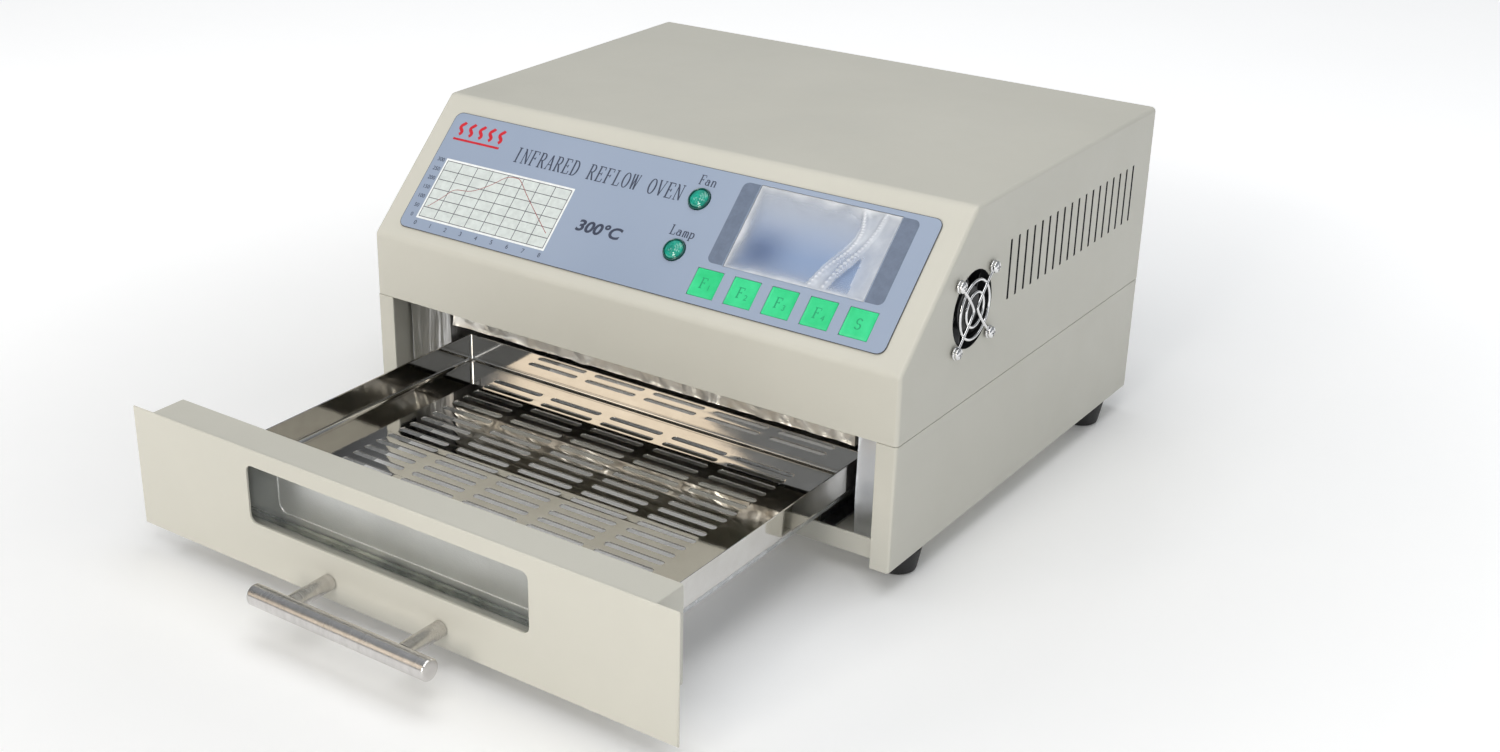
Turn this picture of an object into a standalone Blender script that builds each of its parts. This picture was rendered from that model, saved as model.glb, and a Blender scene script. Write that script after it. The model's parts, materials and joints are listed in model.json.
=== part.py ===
"""Benchtop infrared reflow oven: a sheet-metal case with a slanted control panel, a slotted
steel tray on a sliding drawer, quartz heater tubes, foil-wrapped insulation and two fans.

Metres, +Z up.  +X is the right-hand side, the front faces -Y, the drawer stands open.
Most pieces are laid out from the case datum: X from the middle, Y back from the case's
front face, Z up from its underside.  Panel pieces use the slanted panel's own directions:
X across, Y up the slope from the fold, Z outwards.
"""
import bpy
import bmesh
import math
from mathutils import Vector

# ---- driving dimensions -------------------------------------------------------------------
CASE_WIDTH = 0.310
CASE_DEPTH = 0.2572
CASE_HEIGHT = 0.15735         # without the feet
FOOT_HEIGHT = 0.01265
SHEET = 0.0012                # case sheet metal
GAP = 0.0003                  # clearance kept between pieces that touch
THROUGH = 0.01                # how far a cutting shape reaches past the sheet it cuts
SPLIT_HEIGHT = 0.0635         # where the top cover meets the base
FOLD_HEIGHT = 0.0971          # where the fascia turns into the slanted panel
PANEL_BACK = 0.0627           # how far back the slanted panel reaches
FRONT_FACE_Y = -0.0319        # the case's front face in the part's own frame

POST_WIDTH = 0.0105
SILL_HEIGHT = 0.010
SILL_SETBACK = 0.008
FOLD_RADIUS = 0.0022

DRAWER_OPENING = 0.1623       # how far the drawer stands open
PLATE_WIDTH = 0.3106
PLATE_BOTTOM = -0.0018
PLATE_TOP = 0.0592
PLATE_FRONT = -SHEET - GAP - DRAWER_OPENING
DRAWER_BOX_WIDTH = 0.287
DRAWER_BOX_DEPTH = 0.0193
DRAWER_BOX_BOTTOM = 0.0125
DRAWER_BOX_TOP = PLATE_TOP - 0.0004
WINDOW_CORNER = 0.0035
DRAWER_WINDOW = (-0.081, 0.081, 0.0222, 0.0510)

HANDLE_LENGTH = 0.1026
HANDLE_BAR_RADIUS = 0.005
HANDLE_POST_RADIUS = 0.0038
HANDLE_POST_SPACING = 0.065
HANDLE_HEIGHT = 0.008
HANDLE_REACH = 0.0272         # from the plate's front to the bar's axis

TRAY_RIM_WIDTH = 0.2424
TRAY_FLOOR_WIDTH = 0.2420
TRAY_BEND = 0.0020            # radius where the walls turn up
TRAY_FRAME_WIDTH = 0.2374
TRAY_FRAME_HEIGHT = 0.003
TRAY_FRONT = -0.1441
TRAY_REAR = 0.033
TRAY_BOTTOM = 0.0228
TRAY_RIM = 0.038
TRAY_SHEET = 0.0007
SLOT_COLUMNS = 5
SLOT_ROWS = 19
SLOT_LENGTH = 0.0315
SLOT_WIDTH = 0.0034
SLOT_COLUMN_PITCH = 0.038
SLOT_ROW_PITCH = 0.008
SLOT_REARMOST = 0.018

RAIL_X = 0.096                # inner face of the moving rail, right-hand side
RAIL_LOW = 0.0106
RAIL_TOP = TRAY_BOTTOM - 0.0036
RAIL_SHEET = 0.0010
MOVING_RAIL_REAR = 0.075
FIXED_RAIL_FRONT = 0.0200
FIXED_RAIL_REAR = 0.245
CAGE_FRONT = 0.026
CAGE_REAR = 0.072

CHAMBER_HALF_WIDTH = 0.1232
CHAMBER_FRONT = 0.0205
CHAMBER_REAR = 0.204
CHAMBER_TOP = 0.088
TUBE_COUNT = 4
TUBE_RADIUS = 0.005
TUBE_HEIGHT = 0.076
TUBE_FIRST_Y = 0.066
TUBE_PITCH = 0.035

LOUVRE_COUNT = 18
LOUVRE_FIRST_Y = 0.0988
LOUVRE_LAST_Y = 0.2357
LOUVRE_BOTTOM = 0.102
LOUVRE_TOP = 0.1316
LOUVRE_WIDTH = 0.0018

SIDE_FAN_Y = 0.0633
SIDE_FAN_Z = 0.1085
SIDE_FAN_SIZE = 0.040
SIDE_FAN_DEPTH = 0.010
SIDE_FAN_SCREWS = 0.032
SIDE_FAN_HOLE = 0.0186
SIDE_GUARD_RINGS = (0.0083, 0.0140)
SIDE_GUARD_BOW = 0.0018       # half the gap between the two bowed wires
WIRE_RADIUS = 0.00075
SCREW_RADIUS = 0.0014
EXHAUST_X = 0.045
EXHAUST_Z = 0.066
EXHAUST_SIZE = 0.080
EXHAUST_DEPTH = 0.025

OVERLAY_HALF = 0.1425
OVERLAY_LOW = 0.0074
OVERLAY_HIGH = 0.0764
INLET_X = -0.105
INLET_Z = 0.034
SWITCH_X = -0.075
FUSE_X = -0.054
ROCKER_DEPTH = 0.0035
ROCKER_TILT = math.radians(8)

KEY_SIZE = 0.014
KEY_PITCH = 0.0205
KEY_FIRST_X = 0.0434
KEY_V = 0.0187
LENS_X = 0.0194
LENS_HEIGHTS = {"fan_indicator": 0.0593, "lamp_indicator": 0.0311}
LENS_RADIUS = 0.0057
SCREEN = (0.0480, 0.1228, 0.0294, 0.0735)

HALF_WIDTH = CASE_WIDTH / 2
INSIDE = HALF_WIDTH - SHEET
PANEL_RISE = CASE_HEIGHT - FOLD_HEIGHT
PANEL_ANGLE = math.atan2(PANEL_RISE, PANEL_BACK)
PANEL_LENGTH = math.hypot(PANEL_RISE, PANEL_BACK)

# ---- materials: colour, metallic, roughness -----------------------------------------------
FINISHES = {
    "ivory_paint": ((0.63, 0.59, 0.50), 0.0, 0.45),
    "mirror_steel": ((0.62, 0.61, 0.59), 1.0, 0.10),
    "zinc_plate": ((0.55, 0.56, 0.58), 1.0, 0.35),
    "brushed_steel": ((0.58, 0.56, 0.54), 1.0, 0.30),
    "chrome": ((0.75, 0.75, 0.76), 1.0, 0.08),
    "foil": ((0.78, 0.78, 0.80), 1.0, 0.22),
    "black_rubber": ((0.02, 0.02, 0.022), 0.0, 0.75),
    "black_plastic": ((0.02, 0.02, 0.022), 0.0, 0.45),
    "overlay_film": ((0.40, 0.47, 0.58), 0.0, 0.30),
    "green_key": ((0.03, 0.66, 0.24), 0.0, 0.40),
    "green_lens": ((0.01, 0.30, 0.20), 0.0, 0.12),
    "clear_film": ((0.80, 0.85, 0.92), 0.0, 0.15),
    "screen_glass": ((0.20, 0.30, 0.55), 0.0, 0.20),
    "window_glass": ((0.72, 0.78, 0.76), 0.0, 0.05),
    "quartz": ((0.85, 0.83, 0.78), 0.0, 0.10),
    "ceramic": ((0.82, 0.80, 0.74), 0.0, 0.60),
    "circuit_board": ((0.03, 0.22, 0.10), 0.0, 0.45),
}


def clear_scene():
    for item in list(bpy.data.objects):
        bpy.data.objects.remove(item, do_unlink=True)


def material(name):
    made = bpy.data.materials.get(name)
    if made is None:
        colour, metallic, roughness = FINISHES[name]
        made = bpy.data.materials.new(name)
        made.use_nodes = True
        shader = made.node_tree.nodes["Principled BSDF"]
        shader.inputs["Base Color"].default_value = (*colour, 1.0)
        shader.inputs["Metallic"].default_value = metallic
        shader.inputs["Roughness"].default_value = roughness
    return made


def datum(name, parent, location, tilt=0.0):
    """An empty that a group of pieces is laid out from."""
    empty = bpy.data.objects.new(name, None)
    bpy.context.collection.objects.link(empty)
    empty.parent = parent
    empty.location = location
    empty.rotation_euler = (tilt, 0.0, 0.0)
    return empty


# ---- mesh builders ------------------------------------------------------------------------
def block(low, high, radius=0.0, steps=2):
    """A rectangular block between two corners, its edges rounded by radius."""
    bm = bmesh.new()
    bmesh.ops.create_cube(bm, size=1.0)
    low = Vector(low)
    size = Vector(high) - low
    for corner in bm.verts:
        corner.co = low + Vector(size[i] * (corner.co[i] + 0.5) for i in range(3))
    if radius:
        bmesh.ops.bevel(bm, geom=bm.edges[:], offset=radius, segments=steps,
                        profile=0.5, affect="EDGES")
    return bm


def blocks(corner_pairs):
    """Several separate blocks in one mesh, for cutting a pattern of holes."""
    bm = bmesh.new()
    for low, high in corner_pairs:
        part = block(low, high)
        mesh = bpy.data.meshes.new("pattern")
        part.to_mesh(mesh)
        part.free()
        bm.from_mesh(mesh)
        bpy.data.meshes.remove(mesh)
    return bm


def prism(outline, axis, start, end):
    """A closed outline swept along one axis; the outline gives the other two coordinates."""
    def place(a, b, along):
        return {"X": (along, a, b), "Y": (a, along, b), "Z": (a, b, along)}[axis]
    bm = bmesh.new()
    first = [bm.verts.new(place(a, b, start)) for a, b in outline]
    last = [bm.verts.new(place(a, b, end)) for a, b in outline]
    bm.faces.new(first)
    bm.faces.new(last)
    for i in range(len(outline)):
        j = (i + 1) % len(outline)
        bm.faces.new((first[i], first[j], last[j], last[i]))
    bmesh.ops.recalc_face_normals(bm, faces=bm.faces[:])
    return bm


def rounded_outline(a0, a1, b0, b1, radius, steps=4):
    """A rectangle with rounded corners."""
    corners = ((a1 - radius, b1 - radius, 0), (a0 + radius, b1 - radius, 90),
               (a0 + radius, b0 + radius, 180), (a1 - radius, b0 + radius, 270))
    points = []
    for a, b, begin in corners:
        for k in range(steps + 1):
            angle = math.radians(begin + 90 * k / steps)
            points.append((a + radius * math.cos(angle), b + radius * math.sin(angle)))
    return points


def turned(profile, axis, centre, sides=24, ring=False):
    """A profile of (radius, distance along the axis) turned round that axis.

    A solid's profile starts and ends on the axis; ring=True closes it on itself.
    """
    def place(radius, along, angle):
        a = radius * math.cos(angle)
        b = radius * math.sin(angle)
        offset = {"X": (along, a, b), "Y": (a, along, b), "Z": (a, b, along)}[axis]
        return Vector(centre) + Vector(offset)
    bm = bmesh.new()
    rows = []
    for radius, along in profile:
        count = sides if radius > 1e-6 else 1
        rows.append([bm.verts.new(place(radius, along, math.tau * k / sides)) for k in range(count)])
    pairs = list(zip(rows, rows[1:]))
    if ring:
        pairs.append((rows[-1], rows[0]))
    for here, there in pairs:
        for k in range(sides):
            n = (k + 1) % sides
            corners = [here[k % len(here)], here[n % len(here)], there[n % len(there)], there[k % len(there)]]
            corners = list(dict.fromkeys(corners))
            if len(corners) > 2:
                bm.faces.new(corners)
    bmesh.ops.recalc_face_normals(bm, faces=bm.faces[:])
    return bm


def rod(axis, centre, radius, start, end, sides=20, edge=0.0):
    """A round bar along an axis, its end edges chamfered by edge."""
    if edge:
        profile = [(0, start), (radius - edge, start), (radius, start + edge),
                   (radius, end - edge), (radius - edge, end), (0, end)]
    else:
        profile = [(0, start), (radius, start), (radius, end), (0, end)]
    return turned(profile, axis, centre, sides)


def swept(points, radius, sides=6, closed=False):
    """A round wire through points; closed joins its ends, otherwise they are capped."""
    bm = bmesh.new()
    count = len(points)
    points = [Vector(p) for p in points]
    rings = []
    for i, point in enumerate(points):
        after = points[(i + 1) % count] if closed else points[min(i + 1, count - 1)]
        before = points[i - 1] if closed else points[max(i - 1, 0)]
        along = (after - before).normalized()
        side = along.cross(Vector((1, 0, 0)))
        if side.length < 0.1:
            side = along.cross(Vector((0, 1, 0)))
        side.normalize()
        up = along.cross(side)
        turns = [math.tau * k / sides for k in range(sides)]
        rings.append([bm.verts.new(point + radius * (math.cos(t) * side + math.sin(t) * up)) for t in turns])
    pairs = list(zip(rings, rings[1:]))
    if closed:
        pairs.append((rings[-1], rings[0]))
    for here, there in pairs:
        for k in range(sides):
            n = (k + 1) % sides
            bm.faces.new((here[k], here[n], there[n], there[k]))
    if not closed:
        bm.faces.new(rings[0])
        bm.faces.new(rings[-1])
    bmesh.ops.recalc_face_normals(bm, faces=bm.faces[:])
    return bm


def bevel_where(bm, test, radius, steps=3):
    """Round the edges whose two end points pass the test."""
    chosen = [e for e in bm.edges if test(e.verts[0].co, e.verts[1].co)]
    bmesh.ops.bevel(bm, geom=chosen, offset=radius, segments=steps, profile=0.5, affect="EDGES")


# ---- objects ------------------------------------------------------------------------------
def piece(name, bm, finish, parent, location=(0, 0, 0), smooth=True):
    mesh = bpy.data.meshes.new(name)
    bm.to_mesh(mesh)
    bm.free()
    item = bpy.data.objects.new(name, mesh)
    bpy.context.collection.objects.link(item)
    item.parent = parent
    item.location = location
    mesh.materials.append(material(finish))
    if smooth:
        mesh.shade_smooth()
        mesh.set_sharp_from_angle(angle=math.radians(35))
    return item


def tool(item, bm, operation):
    """Cut a shape out of a piece, or join it on, and keep that shape as a guide."""
    label = f"{item.name}_{operation.lower()}_{len(item.modifiers) + 1}"
    guide = piece(label, bm, "black_plastic", item.parent, item.location, smooth=False)
    guide.hide_render = True
    guide.display_type = "WIRE"
    step = item.modifiers.new(label, "BOOLEAN")
    step.operation = operation
    step.solver = "EXACT"
    step.object = guide


def cut(item, bm):
    tool(item, bm, "DIFFERENCE")


def join(item, bm):
    tool(item, bm, "UNION")


def mirrored(low, high):
    """The same box on the other side of X = 0."""
    return (-high[0], low[1], low[2]), (-low[0], high[1], high[2])


def on_side(side, low, high):
    """A box given for the right-hand side, on side +1 (right) or -1 (left)."""
    return (low, high) if side > 0 else mirrored(low, high)


SIDES = {"left": -1, "right": 1}


# ---- case ---------------------------------------------------------------------------------
def make_base_chassis(case):
    """Folded floor and sides with two front posts; a low sill is set back between them."""
    bm = block((-HALF_WIDTH, 0, 0), (HALF_WIDTH, CASE_DEPTH, SPLIT_HEIGHT - GAP))
    bevel_where(bm, lambda a, b: abs(a.x - b.x) < 1e-6 and (
        (a.y < 1e-6 and b.y < 1e-6) or (a.z < 1e-6 and b.z < 1e-6)), 0.0015, 2)
    base = piece("base_chassis", bm, "ivory_paint", case)
    mouth = HALF_WIDTH - POST_WIDTH
    cut(base, block((-INSIDE, SILL_SETBACK + SHEET, SHEET), (INSIDE, CASE_DEPTH + THROUGH, 0.1)))
    cut(base, block((-INSIDE, SHEET, SHEET), (INSIDE, SILL_SETBACK + 0.002, 0.1)))
    cut(base, block((-mouth, -THROUGH, -THROUGH), (mouth, SILL_SETBACK, 0.1)))
    join(base, block((-INSIDE - 0.0006, SILL_SETBACK, 0.0004),
                     (INSIDE + 0.0006, SILL_SETBACK + SHEET, SILL_HEIGHT)))


def cover_profile(inset, low, back):
    """Side view of the top cover, moved inwards by inset, down to low and back to back."""
    slope = math.tan(PANEL_ANGLE)
    shift = inset / math.cos(PANEL_ANGLE)
    front = inset
    top = CASE_HEIGHT - inset
    fold = FOLD_HEIGHT + slope * front - shift
    crest = (top - FOLD_HEIGHT + shift) / slope
    return [(front, low), (front, fold), (crest, top), (back, top), (back, low)]


def make_top_cover(case, panel):
    """Fascia, slanted panel, roof and both sides in one folded sheet."""
    bm = prism(cover_profile(0.0, SPLIT_HEIGHT, CASE_DEPTH), "X", -HALF_WIDTH, HALF_WIDTH)
    def folded(a, b):
        on_edge = abs(abs(a.x) - HALF_WIDTH) < 1e-6 and abs(abs(b.x) - HALF_WIDTH) < 1e-6
        across = abs(a.x - b.x) > 0.1
        above = min(a.z, b.z) > SPLIT_HEIGHT + 0.001 or (a.y < 1e-6 and b.y < 1e-6 and not across)
        forward = min(a.y, b.y) < CASE_DEPTH - 0.001
        return on_edge and above and forward
    bevel_where(bm, folded, FOLD_RADIUS)
    cover = piece("top_cover", bm, "ivory_paint", case)
    cut(cover, prism(cover_profile(SHEET, 0.03, CASE_DEPTH + 0.02), "X", -INSIDE, INSIDE))
    pitch = (LOUVRE_LAST_Y - LOUVRE_FIRST_Y) / (LOUVRE_COUNT - 1)
    half = LOUVRE_WIDTH / 2
    louvres = []
    for side in (-1, 1):
        for k in range(LOUVRE_COUNT):
            y = LOUVRE_FIRST_Y + k * pitch
            low = (INSIDE - 0.002, y - half, LOUVRE_BOTTOM)
            high = (HALF_WIDTH + 0.002, y + half, LOUVRE_TOP)
            louvres.append(on_side(side, low, high))
    cut(cover, blocks(louvres))
    cut(cover, rod("X", (0, SIDE_FAN_Y, SIDE_FAN_Z), SIDE_FAN_HOLE, INSIDE - 0.002, HALF_WIDTH + 0.002, 32))
    for y, z in fan_screw_places():
        place = (0, SIDE_FAN_Y + y, SIDE_FAN_Z + z)
        cut(cover, rod("X", place, SCREW_RADIUS + GAP, INSIDE - 0.002, HALF_WIDTH + 0.002, 10))
    for item in panel_openings(0.0006):
        guide_for_panel(cover, item, panel)


def fan_screw_places():
    """The side fan's four screws, as offsets in Y and Z from its centre."""
    reach = SIDE_FAN_SCREWS / 2
    return [(y * reach, z * reach) for z in (1, -1) for y in (-1, 1)]


def panel_openings(clearance):
    """Key holes, lens holes and the screen window, as cutting shapes in panel directions."""
    half = KEY_SIZE / 2 + clearance
    keys = [((key_x(k) - half, KEY_V - half, -THROUGH), (key_x(k) + half, KEY_V + half, THROUGH))
            for k in range(5)]
    shapes = [blocks(keys)]
    for height in LENS_HEIGHTS.values():
        shapes.append(rod("Z", (LENS_X, height, 0), LENS_RADIUS + clearance, -THROUGH, THROUGH, 20))
    left, right, low, high = SCREEN
    shapes.append(block((left - clearance, low - clearance, -THROUGH),
                        (right + clearance, high + clearance, THROUGH)))
    return shapes


def guide_for_panel(item, bm, panel):
    """Cut a shape given in panel directions out of a piece laid out from the case."""
    cut(item, bm)
    guide = item.modifiers[-1].object
    guide.parent = panel


def key_x(index):
    return KEY_FIRST_X + index * KEY_PITCH


def make_rear_panel(case):
    """Flat back sheet with the exhaust hole and the mains openings."""
    back = CASE_DEPTH - 0.0002
    low = (-INSIDE + GAP, back - SHEET, SHEET + GAP)
    high = (INSIDE - GAP, back, CASE_HEIGHT - SHEET - GAP)
    rear = piece("rear_panel", block(low, high), "ivory_paint", case)
    cut(rear, rod("Y", (EXHAUST_X, 0, EXHAUST_Z), 0.037, back - THROUGH, back + THROUGH, 32))
    cut(rear, block((INLET_X - 0.0140, back - THROUGH, INLET_Z - 0.0100),
                    (INLET_X + 0.0140, back + THROUGH, INLET_Z + 0.0100)))
    cut(rear, block((SWITCH_X - 0.0068, back - THROUGH, INLET_Z - 0.0098),
                    (SWITCH_X + 0.0068, back + THROUGH, INLET_Z + 0.0098)))
    cut(rear, rod("Y", (FUSE_X, 0, INLET_Z), 0.0063, back - THROUGH, back + THROUGH, 20))


def make_feet(case):
    profile = [(0, -FOOT_HEIGHT), (0.0090, -FOOT_HEIGHT), (0.0097, -FOOT_HEIGHT + 0.0008),
               (0.0114, -GAP), (0, -GAP)]
    for end, y in {"front": 0.0295, "rear": 0.2295}.items():
        for name, side in SIDES.items():
            piece(f"foot_{end}_{name}", turned(profile, "Z", (0, 0, 0), 28), "black_rubber", case,
                  (side * 0.143, y, 0))


# ---- control panel ------------------------------------------------------------------------
def make_control_overlay(panel):
    """Thin printed label plate with openings for keys, lenses and screen."""
    outline = rounded_outline(-OVERLAY_HALF, OVERLAY_HALF, OVERLAY_LOW, OVERLAY_HIGH, 0.004)
    overlay = piece("control_overlay", prism(outline, "Z", GAP, GAP + 0.0005), "overlay_film", panel)
    for shape in panel_openings(0.0003):
        cut(overlay, shape)


def make_keys(panel):
    """Square push keys; each slides inwards along the panel's normal."""
    for index, label in enumerate(("f1", "f2", "f3", "f4", "s")):
        half = KEY_SIZE / 2
        bm = block((-half, -half, -0.0022), (half, half, 0.0012), 0.0006, 2)
        key = piece(f"key_{label}", bm, "green_key", panel, (key_x(index), KEY_V, 0))
        join(key, block((-0.002, -0.002, -0.0062), (0.002, 0.002, -0.0015)))
        join(key, block((-half - 0.0012, -half + 0.001, -0.0030), (half + 0.0012, half - 0.001, -0.0016)))


def make_indicators(panel):
    """Domed round lamps with a threaded barrel and a back nut in one piece each."""
    rim = LENS_RADIUS
    dome = rim - 0.0011
    profile = [(0, -0.010), (0.0042, -0.010), (0.0042, -0.0019), (0.0075, -0.0019), (0.0075, -0.0016),
               (rim, -0.0016), (rim, 0.0011), (rim - 0.0005, 0.0016), (dome, 0.0016)]
    for degrees in (20, 43, 67):
        angle = math.radians(degrees)
        profile.append((dome * math.cos(angle), 0.0010 + 0.0018 * math.sin(angle)))
    profile.append((0, 0.0028))
    for name, height in LENS_HEIGHTS.items():
        piece(name, turned(profile, "Z", (0, 0, 0), 18), "green_lens", panel, (LENS_X, height, 0))


def make_display(panel):
    left, right, low, high = SCREEN
    window = prism(rounded_outline(left, right, low, high, 0.0012, 2), "Z", -0.0006, 0.0006)
    piece("display_window", window, "clear_film", panel)
    module = piece("display_module", block((left - 0.004, low - 0.003, -0.0110),
                                           (right + 0.004, high + 0.002, -0.0030)), "screen_glass", panel)
    cut(module, block((left + 0.001, low + 0.001, -0.0036), (right - 0.001, high - 0.001, -0.0020)))
    board = piece("control_board", block((-0.010, 0.006, -0.0146), (0.136, 0.080, -0.0130)),
                  "circuit_board", panel)
    for index in range(5):
        x = key_x(index)
        join(board, block((x - 0.003, KEY_V - 0.003, -0.0138), (x + 0.003, KEY_V + 0.003, -0.0071)))


# ---- insulation and heating chamber -------------------------------------------------------
def make_insulation(case):
    """Foil-wrapped slabs round the chamber."""
    rear = CHAMBER_REAR + 0.0005
    for name, side in SIDES.items():
        low, high = on_side(side, (CHAMBER_HALF_WIDTH, CHAMBER_FRONT, SHEET + GAP),
                            (INSIDE - 0.001, rear - 0.001, CHAMBER_TOP))
        piece(f"insulation_{name}", block(low, high, 0.002), "foil", case)
    half = CHAMBER_HALF_WIDTH - 0.0005
    piece("insulation_front", block((-half, CHAMBER_FRONT, 0.0495), (half, 0.0445, CHAMBER_TOP), 0.002),
          "foil", case)
    piece("insulation_top", block((-INSIDE + 0.002, 0.0455, CHAMBER_TOP + 0.0006),
                                  (0.141, 0.222, 0.0985), 0.002), "foil", case)
    rear_slab = piece("insulation_rear", block((-half, rear, 0.0215), (half, 0.2215, CHAMBER_TOP), 0.002),
                      "foil", case)
    cut(rear_slab, rod("Y", (EXHAUST_X, 0, EXHAUST_Z), 0.019, rear - THROUGH, 0.24, 24))


def make_chamber_liner(case):
    """Reflector: an upside-down tray of bright sheet above the work tray."""
    half = CHAMBER_HALF_WIDTH - 0.0005
    sheet = 0.0006
    low_edge = 0.041
    liner = piece("chamber_liner", block((-half, 0.0450, low_edge), (half, CHAMBER_REAR, CHAMBER_TOP)),
                  "mirror_steel", case)
    cut(liner, block((-half + sheet, 0.040, low_edge - THROUGH),
                     (half - sheet, CHAMBER_REAR - sheet, CHAMBER_TOP - sheet)))
    cut(liner, rod("Y", (EXHAUST_X, 0, EXHAUST_Z), 0.019, CHAMBER_REAR - THROUGH, CHAMBER_REAR + THROUGH, 24))


def make_heaters(case):
    """Quartz tubes with ceramic ends, carried by a drilled bracket at each side."""
    bracket_x = 0.112
    for index in range(TUBE_COUNT):
        end = 0.119
        cap = 0.104
        profile = [(0, -end), (0.0055, -end), (0.006, -end + 0.0005), (0.006, -cap), (TUBE_RADIUS, -cap)]
        profile += [(radius, -x) for radius, x in reversed(profile)]
        piece(f"heater_tube_{index + 1}", turned(profile, "X", (0, 0, 0), 16), "quartz", case,
              (0, TUBE_FIRST_Y + index * TUBE_PITCH, TUBE_HEIGHT))
    for name, side in SIDES.items():
        low, high = on_side(side, (bracket_x, 0.052, 0.0655), (bracket_x + 0.0012, 0.186, 0.0870))
        bracket = piece(f"tube_bracket_{name}", block(low, high), "zinc_plate", case)
        for index in range(TUBE_COUNT):
            y = TUBE_FIRST_Y + index * TUBE_PITCH
            start, end = sorted((side * 0.109, side * 0.116))
            cut(bracket, rod("X", (0, y, TUBE_HEIGHT), 0.0064, start, end, 16))


def make_thermocouple(case):
    """Sheathed probe with a hexagonal gland, pointing forward from the rear wall."""
    profile = [(0, 0.150), (0.0012, 0.1502), (0.0016, 0.1510), (0.0016, 0.194), (0.0040, 0.194),
               (0.0040, 0.2030), (0, 0.2030)]
    piece("thermocouple", turned(profile, "Y", (0, 0, 0), 12), "brushed_steel", case, (-0.04, 0, 0.0665))


# ---- fans ---------------------------------------------------------------------------------
def fan_frame_mesh(size, depth, bore):
    """Square fan housing around the X axis, with its round duct."""
    half = size / 2
    return prism(rounded_outline(-half, half, -half, half, size * 0.07, 3), "X", 0, depth), \
        rod("X", (0, 0, 0), bore, -THROUGH, depth + THROUGH, 32)


def fan_rotor_mesh(radius, hub, depth, blades):
    """Hub and blades around the X axis."""
    hub_mesh = turned([(0, 0.0), (hub - 0.001, 0.0), (hub, 0.001), (hub, depth), (0, depth)], "X",
                      (0, 0, 0), 24)
    shapes = []
    for k in range(blades):
        turn = math.tau * k / blades
        bm = bmesh.new()
        thick = 0.0006
        outer = []
        for radial, swing in ((hub - 0.001, 0.0), (radius, 0.30)):
            for along, lead in ((depth * 0.12, 0.0), (depth * 0.88, 0.55)):
                angle = turn + swing + lead
                outer.append((along, radial * math.cos(angle), radial * math.sin(angle), angle))
        order = (0, 1, 3, 2)
        front = [bm.verts.new((x, y + thick * math.sin(a), z - thick * math.cos(a)))
                 for x, y, z, a in (outer[i] for i in order)]
        back = [bm.verts.new((x, y - thick * math.sin(a), z + thick * math.cos(a)))
                for x, y, z, a in (outer[i] for i in order)]
        bm.faces.new(front)
        bm.faces.new(back)
        for i in range(4):
            j = (i + 1) % 4
            bm.faces.new((front[i], front[j], back[j], back[i]))
        bmesh.ops.recalc_face_normals(bm, faces=bm.faces[:])
        shapes.append(bm)
    return hub_mesh, shapes


def guard_wires(rings, legs, wire, lift):
    """Concentric wire rings in the YZ plane with legs that cross them."""
    shapes = []
    for radius in rings:
        count = 24
        points = [(lift, radius * math.cos(math.tau * k / count), radius * math.sin(math.tau * k / count))
                  for k in range(count)]
        shapes.append(swept(points, wire, 5, closed=True))
    for points in legs:
        shapes.append(swept(points, wire, 5))
    return shapes


def make_side_fan(case):
    """Small cooling fan behind the right-hand side, with a screwed-on wire guard."""
    hub = datum("side_fan_axis", case, (INSIDE - GAP - SIDE_FAN_DEPTH, SIDE_FAN_Y, SIDE_FAN_Z))
    body, bore = fan_frame_mesh(SIDE_FAN_SIZE, SIDE_FAN_DEPTH, 0.0190)
    frame = piece("side_fan_frame", body, "black_plastic", hub)
    cut(frame, bore)
    for y, z in fan_screw_places():
        cut(frame, rod("X", (0, y, z), SCREW_RADIUS + GAP, -THROUGH, SIDE_FAN_DEPTH + THROUGH, 10))
    join(frame, rod("X", (0, 0, 0), 0.0110, 0, 0.0012, 24))
    for turn in (0, 120, 240):
        angle = math.radians(turn)
        tip = (0.0006, 0.0195 * math.cos(angle), 0.0195 * math.sin(angle))
        join(frame, swept([(0.0006, 0, 0), tip], 0.00055, 4))
    rotor_hub, blades = fan_rotor_mesh(0.0178, 0.0105, 0.0076, 7)
    rotor = piece("side_fan_rotor", rotor_hub, "black_plastic", hub, (0.0017, 0, 0))
    for blade in blades:
        join(rotor, blade)

    guard_axis = datum("side_guard_axis", case, (HALF_WIDTH, SIDE_FAN_Y, SIDE_FAN_Z))
    legs = []
    reach = SIDE_FAN_SCREWS / 2
    leg_end = reach - 0.0018
    lift = GAP + WIRE_RADIUS
    for side in (-1, 1):
        points = []
        for k in range(9):
            part = 2 * k / 8 - 1
            y = side * (SIDE_GUARD_BOW + (leg_end - SIDE_GUARD_BOW) * abs(part) ** 1.25)
            points.append((lift + 0.0004, y, part * leg_end))
        legs.append(points)
    shapes = guard_wires(SIDE_GUARD_RINGS, legs, WIRE_RADIUS, lift)
    guard = piece("side_fan_guard", shapes[0], "chrome", guard_axis)
    for shape in shapes[1:]:
        join(guard, shape)
    for number, (y, z) in enumerate(fan_screw_places()):
        low, high = lift - 0.0004, lift + 0.0011
        section = [(0.0019, low), (0.0032, low), (0.0032, high), (0.0019, high)]
        eye = turned(section, "X", (0, y, z), 14, ring=True)
        join(guard, eye)
        seat = high + GAP
        profile = [(0, -SHEET - 0.006), (SCREW_RADIUS, -SHEET - 0.006), (SCREW_RADIUS, seat),
                   (0.0029, seat), (0.0029, seat + 0.0005), (0.0022, seat + 0.0011),
                   (0.0010, seat + 0.0014), (0, seat + 0.0015)]
        piece(f"side_fan_screw_{number + 1}", turned(profile, "X", (0, 0, 0), 12), "chrome", guard_axis,
              (0, y, z))


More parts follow.
